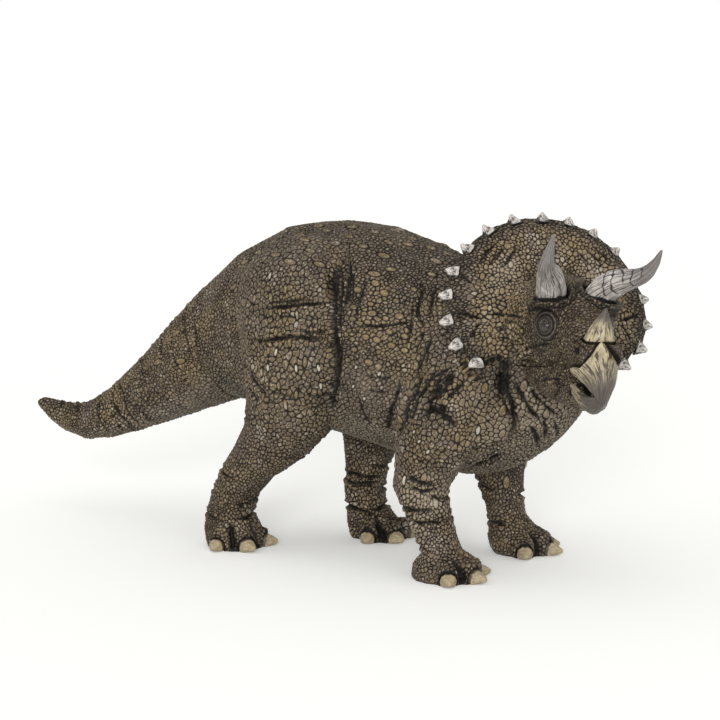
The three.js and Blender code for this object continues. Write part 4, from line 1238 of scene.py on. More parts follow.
        between = ramp(z, top + 0.5, top) * ramp(z, base - 0.5, base)
        outline = np.maximum(outline, ramp(np.abs(angle - 93), 6.5, 3) * between)
        # The slit between the beaks is painted dark as the shade inside the mouth.
        mouth = slit * (0.55 + 0.45 * ramp(z, lip - 1.0, edge)) * ramp(angle, 14, 30)
        return np.maximum(mouth, 0.9 * outline * skin)

    def toes(self, points):
        """Height of the round toes over the nails and of the clefts between, and the painted shade in the
        clefts.
        """
        height, dark = np.zeros(len(points)), np.zeros(len(points))
        for leg, body, count in FEET:
            _, nails, heel = nails_of(leg, count)
            gaps = [(a + b) / 2 for a, b in zip(nails, nails[1:])]
            near = (self.point_label == SKIN_NODES.index(body)) & (points[:, 2] < 14.0)
            away, low = points[near][:, :2] - heel[:2], ramp(points[near][:, 2], 10.5, 6.0)
            for places, wide, rise in ((nails, 2.1, 0.7), (gaps, 0.95, -1.8)):
                for place in places:
                    ahead = (place - heel)[:2]
                    reach = np.linalg.norm(ahead)
                    ahead /= reach
                    bump = np.exp(-((away @ (-ahead[1], ahead[0])) / wide) ** 2) * low
                    bump *= ramp(away @ ahead, 0.35 * reach, 0.8 * reach)
                    height[near] += rise * bump
                    if rise < 0:
                        dark[near] = np.maximum(dark[near], 0.95 * bump)
        return height, dark

    def seat_knobs(self):
        """Keeps the skin low under each knob of the frill, so that the knob stands on it."""
        for name in KNOBS:
            base, tip = knob_ends(name)
            axis = (tip - base) / np.linalg.norm(tip - base)
            near = ((self.points - base) ** 2).sum(1) < 36.0
            run = (self.points[near] - base) @ axis
            self.points[near] -= np.outer(0.92 * np.maximum(run - 1.7, 0.0), axis)

    def hollows(self, creases):
        """Depth of the deep hollows under the cheek and the frill, at the neck and before the thigh."""
        depth = np.zeros(len(self.points))
        for x, y, radius, deep in HOLLOWS:
            place = creases.seen((x, y))
            if place is None:
                continue
            for at in (place, (other_cheek if x > HEAD_FROM_PIXEL else other_side)(place[None])[0]):
                away = ((self.points - at) ** 2).sum(1)
                depth = np.maximum(depth, deep * np.exp(-away / radius ** 2))
        return -depth

    def shape_eyes(self):
        """Raises a low round mound with lids and rings round each eye and makes room for its ball.

        Gives each point's distance from the line the eye looks along, and the beads of its outer ring.
        """
        head = in_head(self.points)
        turn = np.stack([np.ones(len(head)), np.where(head[:, 1] < 0, -1.0, 1.0), np.ones(len(head))], 1)
        q = head * turn - EYE_SEAT
        along = q @ EYE_LOOK
        flat = q - np.outer(along, EYE_LOOK)
        across = np.linalg.norm(flat, axis=1)
        across[(np.abs(along) > 6) | (self.point_label != HEAD) & (self.point_label != JAW)] = FAR
        beads = np.cos(15 * np.arctan2(flat[:, 2], flat[:, 0] * 1.2 - flat[:, 1]))
        rise = 0.5 - 0.08 * across ** 2 + 0.34 * hump(across, 3.4, 0.42) * (0.75 + 0.25 * beads)
        rise += 0.16 * hump(across, 2.3, 0.26) - 0.35 * hump(across, 4.25, 0.26)
        rise -= 0.28 * hump(across, 2.85, 0.2) + 0.14 * hump(across, 1.95, 0.16)
        under = -EYE_BALL_SINK - 0.4 + np.sqrt(np.maximum(EYE_BALL_RADIUS ** 2 - across ** 2, 0.1))
        rise = np.where(across < 1.3, under, rise)
        share = ramp(across, 5.3, 4.1)
        near = share > 0
        head[near] += (EYE_LOOK * ((rise - along) * share)[:, None] * turn)[near]
        self.points[near] = out_of_head(head[near])
        return across, beads

    def collars(self, points):
        """How near each point is to a set-in piece, to a knob's seat, and to the cuff round a brow horn."""
        pedestal, cuff = np.zeros(len(points)), np.full(len(points), FAR)
        around = np.zeros(len(points), bool)
        names = [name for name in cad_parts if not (
            name in SKIN_NODES or name.startswith("eye") or name.endswith("_beak"))]
        for name in names:
            low, high = (np.array(corner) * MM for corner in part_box(name))
            around |= ((points > low - 3) & (points < high + 3)).all(1)
            if name in KNOBS:
                near = ((points > low - 6) & (points < high + 6)).all(1)
                away = ((points[near] - (low + high) / 2) ** 2).sum(1)
                pedestal[near] = np.maximum(pedestal[near], np.exp(-away / 2.7 ** 2))
        tree, owner = surface_of(names)
        away = np.full(len(points), FAR)
        for k in np.flatnonzero(around):
            hit = tree.find_nearest(Vector(points[k]), 3.0)
            if hit[0] is not None:
                away[k] = hit[3]
                if owner[hit[2]].startswith("brow_horn"):
                    cuff[k] = hit[3]
        return ramp(away, 1.0, 0.35), pedestal, cuff

    def carve_nostrils(self):
        """Sinks the two nostrils and gives how deep each point lies in one, for the shade painted in them.
        """
        inside = np.zeros(len(self.points))
        for side in (-1, 1):
            mirror = np.array((1, side, 1))
            along, oval = oval_round(in_head(self.points), NOSTRIL_PIT * mirror, NOSTRIL_INWARD * mirror,
                                     NOSTRIL_PIT_SIZE)
            near = np.abs(along) < 3.0
            sink = 1.4 * np.exp(-(oval ** 4)) * near - 0.3 * hump(oval, 1.6, 0.4) * near
            self.points += np.outer(sink, HEAD_TURN @ (NOSTRIL_INWARD * mirror))
            along, oval = oval_round(in_head(self.points), NOSTRIL_OVAL * mirror, NOSTRIL_OUTWARD * mirror,
                                     NOSTRIL_OVAL_SIZE)
            inside = np.maximum(inside, ramp(oval, 1.15, 0.8) * (np.abs(along) < 3.5))
        return inside

    def part(self, which, name):
        """The finished mesh of one node's share of the skin."""
        own = self.quads[self.label == which]
        used = np.zeros(len(self.points), bool)
        used[own.ravel()] = True
        number = np.cumsum(used) - 1
        mesh = mesh_of(name, self.points[used], number[own])
        for channel, columns in self.channels.items():
            set_point_colours(mesh, channel, [column[used] for column in columns])
        close_borders(mesh, BORDER_DEPTH)
        return mesh


# Materials

def add(tree, kind, inputs=None, **settings):
    """A shader node whose inputs are sockets to link or plain values."""
    node = tree.nodes.new("ShaderNode" + kind)
    for key, value in settings.items():
        setattr(node, key, value)
    for key, value in (inputs or {}).items():
        if isinstance(value, bpy.types.NodeSocket):
            tree.links.new(value, node.inputs[key])
        else:
            node.inputs[key].default_value = value
    return node


def mixed(tree, share, first, second, mode="MIX"):
    """A colour between two colours."""
    node = add(tree, "Mix", {0: share, 6: first, 7: second}, data_type="RGBA", blend_type=mode)
    return node.outputs[2]


def worked(tree, operation, first, second=0.0, third=0.0, clamp=False):
    """One sum with sockets or plain numbers."""
    values = {0: first, 1: second, 2: third}
    return add(tree, "Math", values, operation=operation, use_clamp=clamp).outputs[0]


def times(tree, first, second, clamp=False):
    return worked(tree, "MULTIPLY", first, second, clamp=clamp)


def plus(tree, first, second):
    return worked(tree, "ADD", first, second)


def scaled(tree, value, by, start, clamp=False):
    """The value times by, plus the start."""
    return worked(tree, "MULTIPLY_ADD", value, by, start, clamp)


def larger(tree, first, second):
    return worked(tree, "MAXIMUM", first, second)


def one_less(tree, value, clamp=False):
    return worked(tree, "SUBTRACT", 1.0, value, clamp=clamp)


def eased(tree, value, low, high, out_low=0.0, out_high=1.0):
    """A smooth rise between two levels of the value; low may be the larger one."""
    node = add(tree, "MapRange", {"Value": value, "From Min": low, "From Max": high,
                                  "To Min": out_low, "To Max": out_high}, interpolation_type="SMOOTHSTEP")
    return node.outputs[0]


def new_material(name):
    """A material with its node tree and its surface shader."""
    material = bpy.data.materials.new(name)
    material.use_nodes = True
    tree = material.node_tree
    return material, tree, tree.nodes["Principled BSDF"]


def colour(value):
    return (value[0], value[1], value[2], 1.0)


def skin_channels(tree):
    """The skin's point colours, by name."""
    found = {}
    layers = {"Scale": ("top", "tone", "bright", "fold"), "Paint": ("grey", "pale", "dark", "fine"),
              "Chalk": ("chalk", "beads", "eye_away", "rim")}
    for layer, names in layers.items():
        both = add(tree, "Attribute", attribute_name=layer).outputs
        parts = add(tree, "SeparateColor", {0: both["Color"]}).outputs
        found.update(zip(names, (parts[0], parts[1], parts[2], both["Alpha"])))
    return SimpleNamespace(**found)


def noise(tree, scale, detail):
    """Soft noise that stays with the piece."""
    place = add(tree, "TexCoord").outputs["Object"]
    return add(tree, "TexNoise", {"Vector": place, "Scale": scale, "Detail": detail}).outputs[0]


def scale_paint(tree, settings, skin, mottle):
    """Brown skin that turns to gold on the scales' tops, under soft patches of pale, grey and dark."""
    lift = scaled(tree, mottle, 0.6, -0.25)
    lift = scaled(tree, skin.tone, 0.95, lift, clamp=True)
    ground = mixed(tree, lift, colour(settings.dark_brown), colour(settings.olive_brown))
    broad = noise(tree, 105.0, 2.0)
    ground = mixed(tree, eased(tree, broad, 0.5, 0.64, 0.0, 0.6), ground, colour(MAUVE_BROWN))
    ground = mixed(tree, eased(tree, broad, 0.47, 0.36, 0.0, 0.5), ground, colour(OCHRE))
    golden = times(tree, skin.bright, eased(tree, skin.top, 0.3, 1.0), clamp=True)
    gold = mixed(tree, mottle, colour(settings.olive_gold), colour(settings.gold))
    ground = mixed(tree, golden, ground, gold)
    for share, strength, paint in ((skin.pale, 0.75, settings.belly), (skin.grey, 0.8, settings.grey_patch),
                                   (skin.dark, 0.78, [v * 0.8 for v in settings.dark_brown])):
        ground = mixed(tree, times(tree, share, strength), ground, colour(paint))
    grit = eased(tree, noise(tree, 2700.0, 1.0), 0.36, 0.64, 0.55, 1.0)
    grit = add(tree, "CombineColor", {0: grit, 1: grit, 2: grit}).outputs[0]
    return mixed(tree, 1.0, ground, grit, "MULTIPLY")


def dry_brush(tree, skin, ground, speck):
    """Pale paint that caught on the scales' rims, and pale paint that also stands for painted highlights
    and glints on clusters of scales and as specks.
    """
    rim = times(tree, skin.rim, eased(tree, skin.top, 0.35, 0.9))
    rim = times(tree, rim, scaled(tree, skin.pale, 0.4, 0.22))
    ground = mixed(tree, rim, ground, colour(RIM_CREAM))
    other = worked(tree, "FRACT", times(tree, skin.tone, 7.3))
    pale_and_lit = times(tree, eased(tree, noise(tree, 190.0, 1.0), 0.57, 0.66), eased(tree, other, 0.55, 0.65))
    pale_and_lit = times(tree, pale_and_lit, eased(tree, skin.top, 0.6, 1.0, 0.0, 0.7))
    pale_and_lit = times(tree, pale_and_lit, one_less(tree, skin.dark, clamp=True))
    ground = mixed(tree, pale_and_lit, ground, colour(PALE_SCALE_AND_HIGHLIGHT))
    speck_and_glint = times(tree, eased(tree, speck, 0.52, 0.66), eased(tree, skin.top, 0.7, 1.0, 0.0, 0.6))
    return mixed(tree, speck_and_glint, ground, colour(PALE_SPECK_AND_GLINT))


def dark_wash(tree, settings, skin, ground, mottle, lines):
    """The near-black wash that fills the grooves between scales and the fine cracks, and the same
    near-black laid on as painted shade in folds and hollows and as seam lines.
    """
    micro = one_less(tree, times(tree, skin.fine, 0.8))
    micro = larger(tree, lines, micro)
    groove = one_less(tree, times(tree, eased(tree, skin.top, 0.08, 0.8), micro))
    groove = times(tree, groove, scaled(tree, skin.grey, -0.45, 0.96))
    groove = times(tree, groove, eased(tree, mottle, 0.3, 0.5, 0.7, 1.0))
    ground = mixed(tree, groove, ground, colour(settings.groove))
    # The fold channel adds painted shade in folds, hollows, the nostrils and the mouth, and the dark seam
    # lines.
    return mixed(tree, eased(tree, skin.fold, 0.05, 0.78, 0.0, 0.98), ground, colour(settings.groove))


def eye_rings(tree, settings, skin, ground):
    """The wrinkled rings of the lids, light and dark by turns, round the dark edge of the eye."""
    rings = add(tree, "ValToRGB", {0: skin.eye_away})
    stops = rings.color_ramp.elements
    stops.remove(stops[1])
    for number, (away, level) in enumerate(EYE_RINGS):
        place = away / EYE_CHANNEL_REACH
        stop = stops.new(place) if number else stops[0]
        stop.position, stop.color = place, (level, level, level, 1.0)
    ring = rings.outputs[0]
    ground = mixed(tree, eased(tree, skin.eye_away, 0.75, 0.6, 0.0, 0.85), ground,
                   colour([v * 0.5 for v in settings.dark_brown]))
    light = times(tree, eased(tree, ring, 0.5, 1.0, 0.0, 0.8), scaled(tree, skin.beads, 0.6, 0.4))
    ground = mixed(tree, light, ground, colour(RING_GREY))
    return mixed(tree, eased(tree, ring, 0.5, 0.1, 0.0, 0.95), ground, colour(settings.groove))


def skin_material(settings):
    """The painted skin, from its point colours and noise that stays with the piece."""
    material, tree, shader = new_material("painted skin")
    skin = skin_channels(tree)
    mottle, speck = noise(tree, 260.0, 3.0), noise(tree, 1500.0, 2.0)
    place = add(tree, "TexCoord").outputs["Object"]
    grain = add(tree, "TexVoronoi", {"Vector": place, "Scale": 1150.0}, feature="DISTANCE_TO_EDGE")
    lines = eased(tree, grain.outputs[0], 0.02, 0.16)
    ground = dry_brush(tree, skin, scale_paint(tree, settings, skin, mottle), speck)
    ground = mixed(tree, eased(tree, speck, 0.62, 0.8, 0.0, 0.35), ground, colour(settings.belly))
    ground = dark_wash(tree, settings, skin, ground, mottle, lines)
    ground = eye_rings(tree, settings, skin, ground)
    # Chalk-white scute tops, worn white paint that also stands for painted glints.
    chalk = times(tree, skin.chalk, eased(tree, skin.top, 0.3, 0.9))
    ground = mixed(tree, chalk, ground, colour(CHALK_WHITE_AND_GLINT))
    tree.links.new(ground, shader.inputs["Base Color"])
    tree.links.new(eased(tree, mottle, 0.3, 0.7, 0.5, 0.62), shader.inputs["Roughness"])
    shader.inputs["Specular IOR Level"].default_value = 0.18
    cracks = times(tree, lines, scaled(tree, skin.fine, 0.55, 0.3))
    relief = plus(tree, cracks, times(tree, speck, 0.5))
    bump = add(tree, "Bump", {"Strength": 0.7, "Distance": 0.00012, "Height": relief})
    tree.links.new(bump.outputs[0], shader.inputs["Normal"])
    return material


def bone_material(name, light, deep, tip, streak, roughness):
    """Horn, beak or nail: streaks that run along the piece, a tip of its own colour and a dark seat."""
    material, tree, shader = new_material(name)
    way = add(tree, "Attribute", attribute_name="Way").outputs
    along = way["Alpha"]
    round_x, round_y, crack = add(tree, "SeparateColor", {0: way["Color"]}).outputs
    run = add(tree, "CombineXYZ", {0: times(tree, round_x, streak),
                                   1: times(tree, round_y, streak),
                                   2: times(tree, along, 2.5)}).outputs[0]
    strands = add(tree, "TexNoise", {"Vector": run, "Scale": 1.6, "Detail": 5.0, "Roughness": 0.65})
    strands = plus(tree, strands.outputs[0], eased(tree, along, 0.2, 0.9, -0.02, 0.06))
    mottle = noise(tree, 420.0, 4.0)
    base = mixed(tree, eased(tree, mottle, 0.3, 0.7), colour(light), colour([v * 0.6 for v in light]))
    base = mixed(tree, eased(tree, strands, 0.5, 0.56, 0.0, 0.95), base, colour(deep))
    base = mixed(tree, eased(tree, along, 0.35, 0.85, 0.0, 0.85), base, colour(tip))
    base = mixed(tree, eased(tree, strands, 0.53, 0.57, 0.0, 0.6), base, colour(deep))
    base = mixed(tree, eased(tree, crack, 0.1, 0.9, 0.0, 0.97), base, colour([v * 0.3 for v in deep]))
    tree.links.new(base, shader.inputs["Base Color"])
    tree.links.new(eased(tree, mottle, 0.3, 0.7, roughness, roughness + 0.12), shader.inputs["Roughness"])
    height = plus(tree, times(tree, strands, -0.8), times(tree, mottle, 0.4))
    bump = add(tree, "Bump", {"Strength": 0.6, "Distance": 0.00015, "Height": height})
    tree.links.new(bump.outputs[0], shader.inputs["Normal"])
    return material


def eye_material():
    """A dark, wet eye: amber-brown iris round a black pupil, from the Iris attribute."""
    material, tree, shader = new_material("painted eye")
    off = add(tree, "Attribute", attribute_name="Iris").outputs["Fac"]
    flecks = eased(tree, noise(tree, 1800.0, 3.0), 0.35, 0.65)
    iris = mixed(tree, flecks, colour(IRIS_DARK), colour(IRIS_AMBER))
    ball = mixed(tree, eased(tree, off, 0.72, 0.8), iris, colour(EYE_CORNER))
    base = mixed(tree, eased(tree, off, 0.34, 0.4), colour(PUPIL), ball)
    tree.links.new(base, shader.inputs["Base Color"])
    shader.inputs["Roughness"].default_value = 0.14
    shader.inputs["Coat Weight"].default_value = 0.25
    shader.inputs["Coat Roughness"].default_value = 0.05
    return material


# Horns, beaks, knobs and nails

def round_axis(points, base, tip):
    """Per point, its angle round the piece's own middle line and its share of the way from base to tip."""
    axis = tip - base
    length = np.linalg.norm(axis)
    axis = axis / length
    run = (points - base) @ axis / length
    bins = np.clip((run * 24).astype(int), 0, 24)
    filled = np.bincount(bins, minlength=25)
    centres = np.stack([np.bincount(bins, points[:, k], 25) / np.maximum(filled, 1) for k in range(3)], 1)
    for k in range(1, 25):
        if filled[k] == 0:
            centres[k] = centres[k - 1]
    for _ in range(4):
        centres[1:-1] = (centres[:-2] + 2 * centres[1:-1] + centres[2:]) / 4
    away = points - np.stack([np.interp(run * 24 - 0.5, np.arange(25), centres[:, k]) for k in range(3)], 1)
    side = np.cross(axis, (0.0, 0.0, 1.0))
    side /= np.linalg.norm(side)
    return np.arctan2(away @ np.cross(side, axis), away @ side), run


def cracks_round(points, angle, run, cracks):
    """How deep each point lies in a crack, by the crack's share of the way, half turn and place round."""
    total = np.zeros(len(points))
    for level, span, phase in cracks:
        line = np.abs(run - level - 0.03 * np.sin(angle * 2 + phase) - 0.012 * lumps(points, 0.9, 63))
        part = ramp(np.cos(angle - phase), math.cos(span), math.cos(span * 0.8))
        total = np.maximum(total, np.exp(-((line / 0.010) ** 2)) * part)
    return total


def bone_piece(node, surface, ends, material, grooves, rounds=6, bend=None, cracks=(), seat=None):
    """A horn, beak part, knob or nail: an even surface with grooves that run to its tip.

    The dark line where it leaves the skin follows the seat, the node that it stands in.
    """
    points, quads = surface
    net = Net(len(points), quads)
    points = net.relax(points, rounds)
    if bend:
        points = net.relax(out_of_head(bend(in_head(points))), 3)
    base, tip = ends
    angle, run = round_axis(points, base, tip)
    twist = angle + 0.5 * lumps(points, 5.0, 61)
    count, depth = grooves
    strands = np.sin(twist * count + 2.0 * lumps(points, 3.0, 62)) * np.sin(twist * (count * 0.61) + 1.3)
    dark = cracks_round(points, angle, run, cracks)
    height = -depth * ramp(strands, 0.1, 0.75) * ramp(run, 1.0, 0.8) - 1.4 * depth * dark
    if seat:
        tree, _ = surface_of([seat])
        away = np.array([tree.find_nearest(Vector(point))[3] for point in points])
        dark = np.maximum(dark, ramp(away, 0.75, 0.4))
    points = clipped(points + normals_of(points, quads) * height[:, None])
    points[:, 2] = np.maximum(points[:, 2], 0.0)
    mesh = mesh_of(node + "_bone", points, quads)
    angle, run = round_axis(points, base, tip)
    way = (0.5 + 0.5 * np.cos(angle), 0.5 + 0.5 * np.sin(angle),
           np.clip(dark + 0.35 * ramp(strands, 0.45, 0.9), 0, 1), np.clip(run, 0, 1))
    set_point_colours(mesh, "Way", way)
    mesh.polygons.foreach_set("use_smooth", np.ones(len(quads), bool))
    return piece(mesh.name, mesh, material, [node])


# Settings and operators

class HornedToySizes(bpy.types.PropertyGroup):
    """Sizes of the skin's scales and of the steps between its points"""
    voxel: bpy.props.FloatProperty(
        name="Skin step", description="Spacing of the skin before it is refined",
        default=0.00068, min=0.0004, max=0.003, unit="LENGTH", subtype="DISTANCE")
    smoothing: bpy.props.IntProperty(
        name="Skin smoothing", description="Rounds that blend limbs into the body",
        default=26, min=0, max=80)
    scale_size: bpy.props.FloatProperty(
        name="Scale size", description="Size of the skin's scales, as a share",
        default=1.0, min=0.5, max=2.0, subtype="FACTOR")
    relief: bpy.props.FloatProperty(
        name="Relief", description="Depth of the skin's scales, as a share",
        default=1.0, min=0.0, max=2.0, subtype="FACTOR")
    horn_step: bpy.props.FloatProperty(
        name="Horn step", description="Spacing of the horns' and beak's surface",
        default=0.0003, min=0.0002, max=0.002, unit="LENGTH", subtype="DISTANCE")


def paint_property(name, description, value):
    """A paint that the user may change."""
    return bpy.props.FloatVectorProperty(name=name, description=description, default=value, size=3,
                                         min=0.0, max=1.0, subtype="COLOR")


class HornedToyPaints(bpy.types.PropertyGroup):
    """Paints of skin, horns, beak and nails"""
    groove: paint_property("Groove", "Wash in the grooves between scales", (0.006, 0.005, 0.004))
    dark_brown: paint_property("Dark brown", "Skin where it is darkest", (0.043, 0.029, 0.023))
    olive_brown: paint_property("Olive brown", "Plain skin", (0.152, 0.106, 0.063))
    olive_gold: paint_property("Olive gold", "Scale tops", (0.215, 0.147, 0.062))
    gold: paint_property("Gold", "Brightest scale tops", (0.365, 0.252, 0.096))
    belly: paint_property("Belly", "Underside of body, tail and throat", (0.315, 0.25, 0.197))
    grey_patch: paint_property("Grey patch", "Sprayed patches on back and flank", (0.172, 0.139, 0.134))
    horn: paint_property("Horn", "Brow horns and knobs", (0.76, 0.705, 0.655))
    horn_deep: paint_property("Horn streaks", "Streaks and cracks in the horns", (0.07, 0.06, 0.055))
    horn_tip: paint_property("Horn tip", "Tips of the horns", (0.3, 0.275, 0.26))
    beak: paint_property("Beak", "Beak and nose horn", (0.58, 0.495, 0.32))
    beak_deep: paint_property("Beak streaks", "Streaks in the beak", (0.07, 0.052, 0.035))
    beak_tip: paint_property("Beak tip", "Tip of the beak", (0.07, 0.06, 0.06))
    nail: paint_property("Nail", "Toenails", (0.55, 0.45, 0.28))


def settings_of(context):
    """The scene's sizes and paints."""
    return context.scene.horned_toy_sizes, context.scene.horned_toy_paints


class HORNED_TOY_OT_skin(bpy.types.Operator):
    """Builds the scaly skin of body, tail, head, jaw and legs"""
    bl_idname = "horned_toy.skin"
    bl_label = "Skin"

    def execute(self, context):
        sizes, paints = settings_of(context)
        model = SkinModel(sizes)
        material = skin_material(paints)
        for which, node in enumerate(SKIN_NODES):
            name = node.replace("_shell", "") + "_skin"
            piece(name, model.part(which, name), material, [node])
        return {"FINISHED"}


class HORNED_TOY_OT_brow_horns(bpy.types.Operator):
    """Builds the two long horns over the eyes"""
    bl_idname = "horned_toy.brow_horns"
    bl_label = "Brow horns"

    def execute(self, context):
        sizes, paints = settings_of(context)
        material = bone_material("painted horn", paints.horn, paints.horn_deep, paints.horn_tip, 14.0, 0.5)
        for side in SIDES:
            node = "brow_horn_" + side
            ends = ends_of(node, HEAD_TURN @ HORN_WAY)
            bone_piece(node, remeshed([node], 0.0, sizes.horn_step), ends, material, (7, 0.13),
                       bend=bent_horn(*ends), cracks=HORN_CRACKS[side], seat="head")
        return {"FINISHED"}


def widened(base, tip, share, taller):
    """Makes a bend that spreads a piece round the line from its base to its tip and draws it out."""
    base, tip = in_head(base), in_head(tip)
    axis = (tip - base) / np.linalg.norm(tip - base)

    def bend(q):
        run = np.outer((q - base) @ axis, axis)
        return base + taller * run + 0.3 * axis + share * (q - base - run)
    return bend


def pointed(base, tip):
    """Makes a bend that draws a toenail out to a blunt point."""
    base, tip = in_head(base), in_head(tip)
    length = np.linalg.norm(tip - base)
    axis = (tip - base) / length

    def bend(q):
        share = (q - base) @ axis / length
        along = np.outer(share * length, axis)
        longer, narrower = 1 + 0.1 * ramp(share, 0.5, 1.0), 1.04 - 0.48 * ramp(share, 0.3, 1.1)
        return base + along * longer[:, None] + (q - base - along) * narrower[:, None]
    return bend


def bent_horn(base, tip):
    """Makes a bend that sags a brow horn outwards before its tip, so that the tip curls up again."""
    base, tip = in_head(base), in_head(tip)
    axis = (tip - base) / np.linalg.norm(tip - base)
    length = np.linalg.norm(tip - base)
    sag = np.array((0.0, 0.85 * np.sign(tip[1]), -1.25))

    def bend(q):
        run = (q - base) @ axis / length
        return q + np.outer(hump(run, 0.66, 0.2) - 0.35 * ramp(run, 0.85, 1.02), sag)
    return bend


def beak_sheet(shape, thickness):
    """A curved sheet round the snout, thickened inwards."""
    sheet = bmesh.new()
    bmesh.ops.create_grid(sheet, x_segments=112, y_segments=44, size=1.0)
    place = np.array([vertex.co for vertex in sheet.verts])
    angle = np.abs(place[:, 0]) * 90.0
    share = (1.0 - place[:, 1]) / 2.0
    z = curve(*shape["top"])(angle) * (1 - share) + curve(*shape["bottom"])(angle) * share
    x = curve(*shape["front"])(z) - curve(*shape["length"])(z) * (1 - np.cos(np.radians(angle)))
    y = curve(*shape["width"])(z) * np.sin(np.radians(place[:, 0] * 90.0)) - beak_lean(shape, x)
    for vertex, co in zip(sheet.verts, out_of_head(np.stack([x, y, z], 1))):
        vertex.co = co / MM
    bmesh.ops.recalc_face_normals(sheet, faces=sheet.faces)
    sheet.normal_update()
    inside = Vector(out_of_head(BEAK_MIDDLE) / MM)
    if sum(face.normal.dot(face.calc_center_median() - inside) for face in sheet.faces) < 0:
        bmesh.ops.reverse_faces(sheet, faces=sheet.faces)
    bmesh.ops.solidify(sheet, geom=sheet.faces[:], thickness=thickness / MM)
    bmesh.ops.recalc_face_normals(sheet, faces=sheet.faces)
    mesh = bpy.data.meshes.new("sheet")
    sheet.to_mesh(mesh)
    sheet.free()
    return arrays_of(mesh)


class HORNED_TOY_OT_beak(bpy.types.Operator):
    """Builds the upper and lower beak and the horn on the nose"""
    bl_idname = "horned_toy.beak"
    bl_label = "Beak and nose horn"

    def execute(self, context):
        sizes, paints = settings_of(context)
        material = bone_material("painted beak", paints.beak, paints.beak_deep, paints.beak_tip, 10.0, 0.45)
        low = bone_material("painted lower beak", [0.8 * v for v in paints.beak], paints.beak_deep,
                            paints.beak_tip, 7.5, 0.45)
        upper, lower = (beak_sheet(shape, BEAK_THICKNESS) for shape in (UPPER_BEAK, LOWER_BEAK))
        horn = remeshed(["nose_horn"], 0.0, sizes.horn_step)
        bone_piece("upper_beak", upper, out_of_head(UPPER_BEAK_ENDS), material, (9, 0.1), 3)
        bone_piece("lower_beak", lower, out_of_head(LOWER_BEAK_ENDS), low, (8, 0.08), 3)
        bone_piece("nose_horn", horn, out_of_head(NOSE_HORN_ENDS), material, (6, 0.08), seat="head")
        return {"FINISHED"}


class HORNED_TOY_OT_knobs(bpy.types.Operator):
    """Builds the knobs round the frill"""
    bl_idname = "horned_toy.knobs"
    bl_label = "Frill knobs"

    def execute(self, context):
        sizes, paints = settings_of(context)
        material = bone_material("painted knob", [v * 0.85 for v in paints.horn], paints.horn_deep,
                                 [min(1.0, v * 1.15) for v in paints.horn], 3.2, 0.5)
        for node in KNOBS:
            ends = knob_ends(node)
            bone_piece(node, remeshed([node], 0.0, sizes.horn_step), ends, material, (5, 0.07), 2,
                       widened(*ends, 1.5, 0.9), seat="head")
        return {"FINISHED"}


class HORNED_TOY_OT_nails(bpy.types.Operator):
    """Builds the toenails"""
    bl_idname = "horned_toy.nails"
    bl_label = "Toenails"

    def execute(self, context):
        sizes, paints = settings_of(context)
        material = bone_material("painted nail", paints.nail, [v * 0.45 for v in paints.nail],
                                 [v * 0.9 for v in paints.nail], 2.0, 0.45)
        for leg, body, count in FEET:
            names, middles, heel = nails_of(leg, count)
            for node, middle in zip(names, middles):
                ends = ends_of(node, (middle - heel) / np.linalg.norm(middle - heel))
                surface = remeshed([node], 0.0, sizes.horn_step)
                bone_piece(node, surface, ends, material, (4, 0.04), 5, pointed(*ends), seat=body)
        return {"FINISHED"}


class HORNED_TOY_OT_eyes(bpy.types.Operator):
    """Builds the two eyes"""
    bl_idname = "horned_toy.eyes"
    bl_label = "Eyes"

    def execute(self, context):
        sizes, _ = settings_of(context)
        material = eye_material()
        for side in SIDES:
            node = "eye_" + side
            points, quads = remeshed([node], 0.0, sizes.horn_step)
            points = Net(len(points), quads).relax(points, 8)
            turn = np.array((1.0, -1.0 if side == "right" else 1.0, 1.0))
            centre = out_of_head((EYE_SEAT - EYE_BALL_SINK * EYE_LOOK) * turn)
            points -= middle_of(node)
            points = centre + points * EYE_BALL_RADIUS / np.linalg.norm(points, axis=1).mean()
            look = HEAD_TURN @ (EYE_LOOK * turn)
            away = points - centre
            off = np.arccos(np.clip((away @ look) / np.linalg.norm(away, axis=1), -1, 1))
            mesh = mesh_of(node + "_ball", points, quads)
            layer = mesh.attributes.new("Iris", "FLOAT", "POINT")
            layer.data.foreach_set("value", off.astype(np.float32))
            mesh.polygons.foreach_set("use_smooth", np.ones(len(quads), bool))
            piece(node + "_ball", mesh, material, [node])
        return {"FINISHED"}


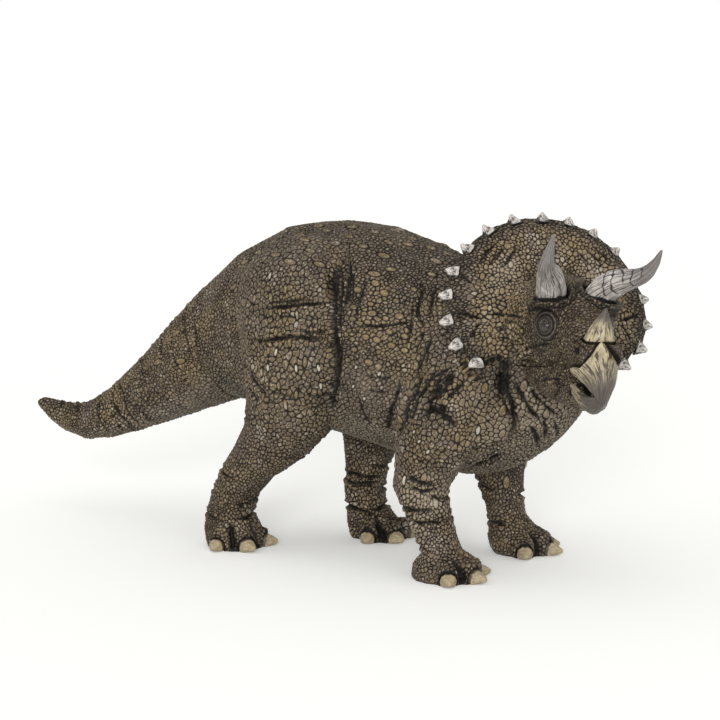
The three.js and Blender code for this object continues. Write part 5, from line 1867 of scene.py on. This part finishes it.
class HORNED_TOY_OT_stage(bpy.types.Operator):
    """Sets the pale floor, the soft light and the camera"""
    bl_idname = "horned_toy.stage"
    bl_label = "Stage"

    def execute(self, context):
        scene = context.scene
        scene.view_settings.view_transform = "Standard"
        material, tree, shader = new_material("pale floor")
        shader.inputs["Roughness"].default_value = 0.9
        shader.inputs["Specular IOR Level"].default_value = 0.0
        path = add(tree, "LightPath").outputs
        shown = larger(tree, path["Is Glossy Ray"], path["Is Transmission Ray"])
        shown = larger(tree, path["Is Camera Ray"], shown)
        shader.inputs["Emission Color"].default_value = (1.0, 1.0, 1.0, 1.0)
        floor_colour = mixed(tree, shown, colour(FLOOR_LIT), colour(FLOOR_SHOWN))
        tree.links.new(floor_colour, shader.inputs["Base Color"])
        tree.links.new(times(tree, shown, 0.2), shader.inputs["Emission Strength"])
        bm = bmesh.new()
        bmesh.ops.create_grid(bm, x_segments=4, y_segments=4, size=4.0)
        mesh = bpy.data.meshes.new("floor")
        bm.to_mesh(mesh)
        bm.free()
        mesh.materials.append(material)
        floor = bpy.data.objects.new("floor", mesh)
        scene.collection.objects.link(floor)

        world = bpy.data.worlds.new("pale room")
        scene.world = world
        world.use_nodes = True
        tree = world.node_tree
        tree.nodes.clear()
        path = add(tree, "LightPath").outputs
        shown = larger(tree, path["Is Camera Ray"], path["Is Transmission Ray"])
        room = add(tree, "Background", {"Color": (1.0, 0.985, 0.97, 1.0), "Strength": 0.68})
        white = add(tree, "Background", {"Color": (1.0, 1.0, 1.0, 1.0), "Strength": 1.0})
        both = add(tree, "MixShader", {0: shown, 1: room.outputs[0], 2: white.outputs[0]})
        out = add(tree, "OutputWorld")
        tree.links.new(both.outputs[0], out.inputs[0])

        for name, place, spread, power in LAMPS:
            light = bpy.data.lights.new(name + " lamp", "SUN")
            light.energy = power
            light.angle = math.radians(spread)
            lamp = bpy.data.objects.new(name + " lamp", light)
            lamp.location = place
            aim = Vector(LAMP_AIM) - Vector(place)
            lamp.rotation_euler = aim.to_track_quat("-Z", "Y").to_euler()
            scene.collection.objects.link(lamp)

        lens = bpy.data.cameras.new("camera")
        lens.sensor_width = SENSOR
        lens.lens = SENSOR * PIXELS_PER_SLOPE / PICTURE
        lens.clip_end = 20.0
        camera = bpy.data.objects.new("camera", lens)
        camera.location = Vector(CAMERA_PLACE / MM)
        aim = Vector((CAMERA_AIM - CAMERA_PLACE) / MM)
        camera.rotation_euler = aim.to_track_quat("-Z", "Y").to_euler()
        scene.collection.objects.link(camera)
        scene.camera = camera
        return {"FINISHED"}


OPERATORS = (
    HORNED_TOY_OT_skin, HORNED_TOY_OT_brow_horns, HORNED_TOY_OT_beak, HORNED_TOY_OT_knobs,
    HORNED_TOY_OT_nails, HORNED_TOY_OT_eyes, HORNED_TOY_OT_stage,
)


class HORNED_TOY_PT_panel(bpy.types.Panel):
    """Lists the toy's sizes, paints and build steps"""
    bl_idname = "HORNED_TOY_PT_panel"
    bl_label = "Horned toy"
    bl_space_type = "VIEW_3D"
    bl_region_type = "UI"
    bl_category = "Horned toy"

    def draw(self, context):
        layout = self.layout
        for group in settings_of(context):
            box = layout.box()
            for key in group.__annotations__:
                box.prop(group, key)
        for operator in OPERATORS:
            layout.operator(operator.bl_idname)


CLASSES = (HornedToySizes, HornedToyPaints, *OPERATORS, HORNED_TOY_PT_panel)


def register():
    for item in CLASSES:
        bpy.utils.register_class(item)
    bpy.types.Scene.horned_toy_sizes = bpy.props.PointerProperty(type=HornedToySizes)
    bpy.types.Scene.horned_toy_paints = bpy.props.PointerProperty(type=HornedToyPaints)


def unregister():
    del bpy.types.Scene.horned_toy_sizes
    del bpy.types.Scene.horned_toy_paints
    for item in reversed(CLASSES):
        bpy.utils.unregister_class(item)


def main():
    register()
    for step in (bpy.ops.horned_toy.skin, bpy.ops.horned_toy.brow_horns, bpy.ops.horned_toy.beak,
                 bpy.ops.horned_toy.knobs, bpy.ops.horned_toy.nails, bpy.ops.horned_toy.eyes,
                 bpy.ops.horned_toy.stage):
        step()


if __name__ == "__main__":
    main()
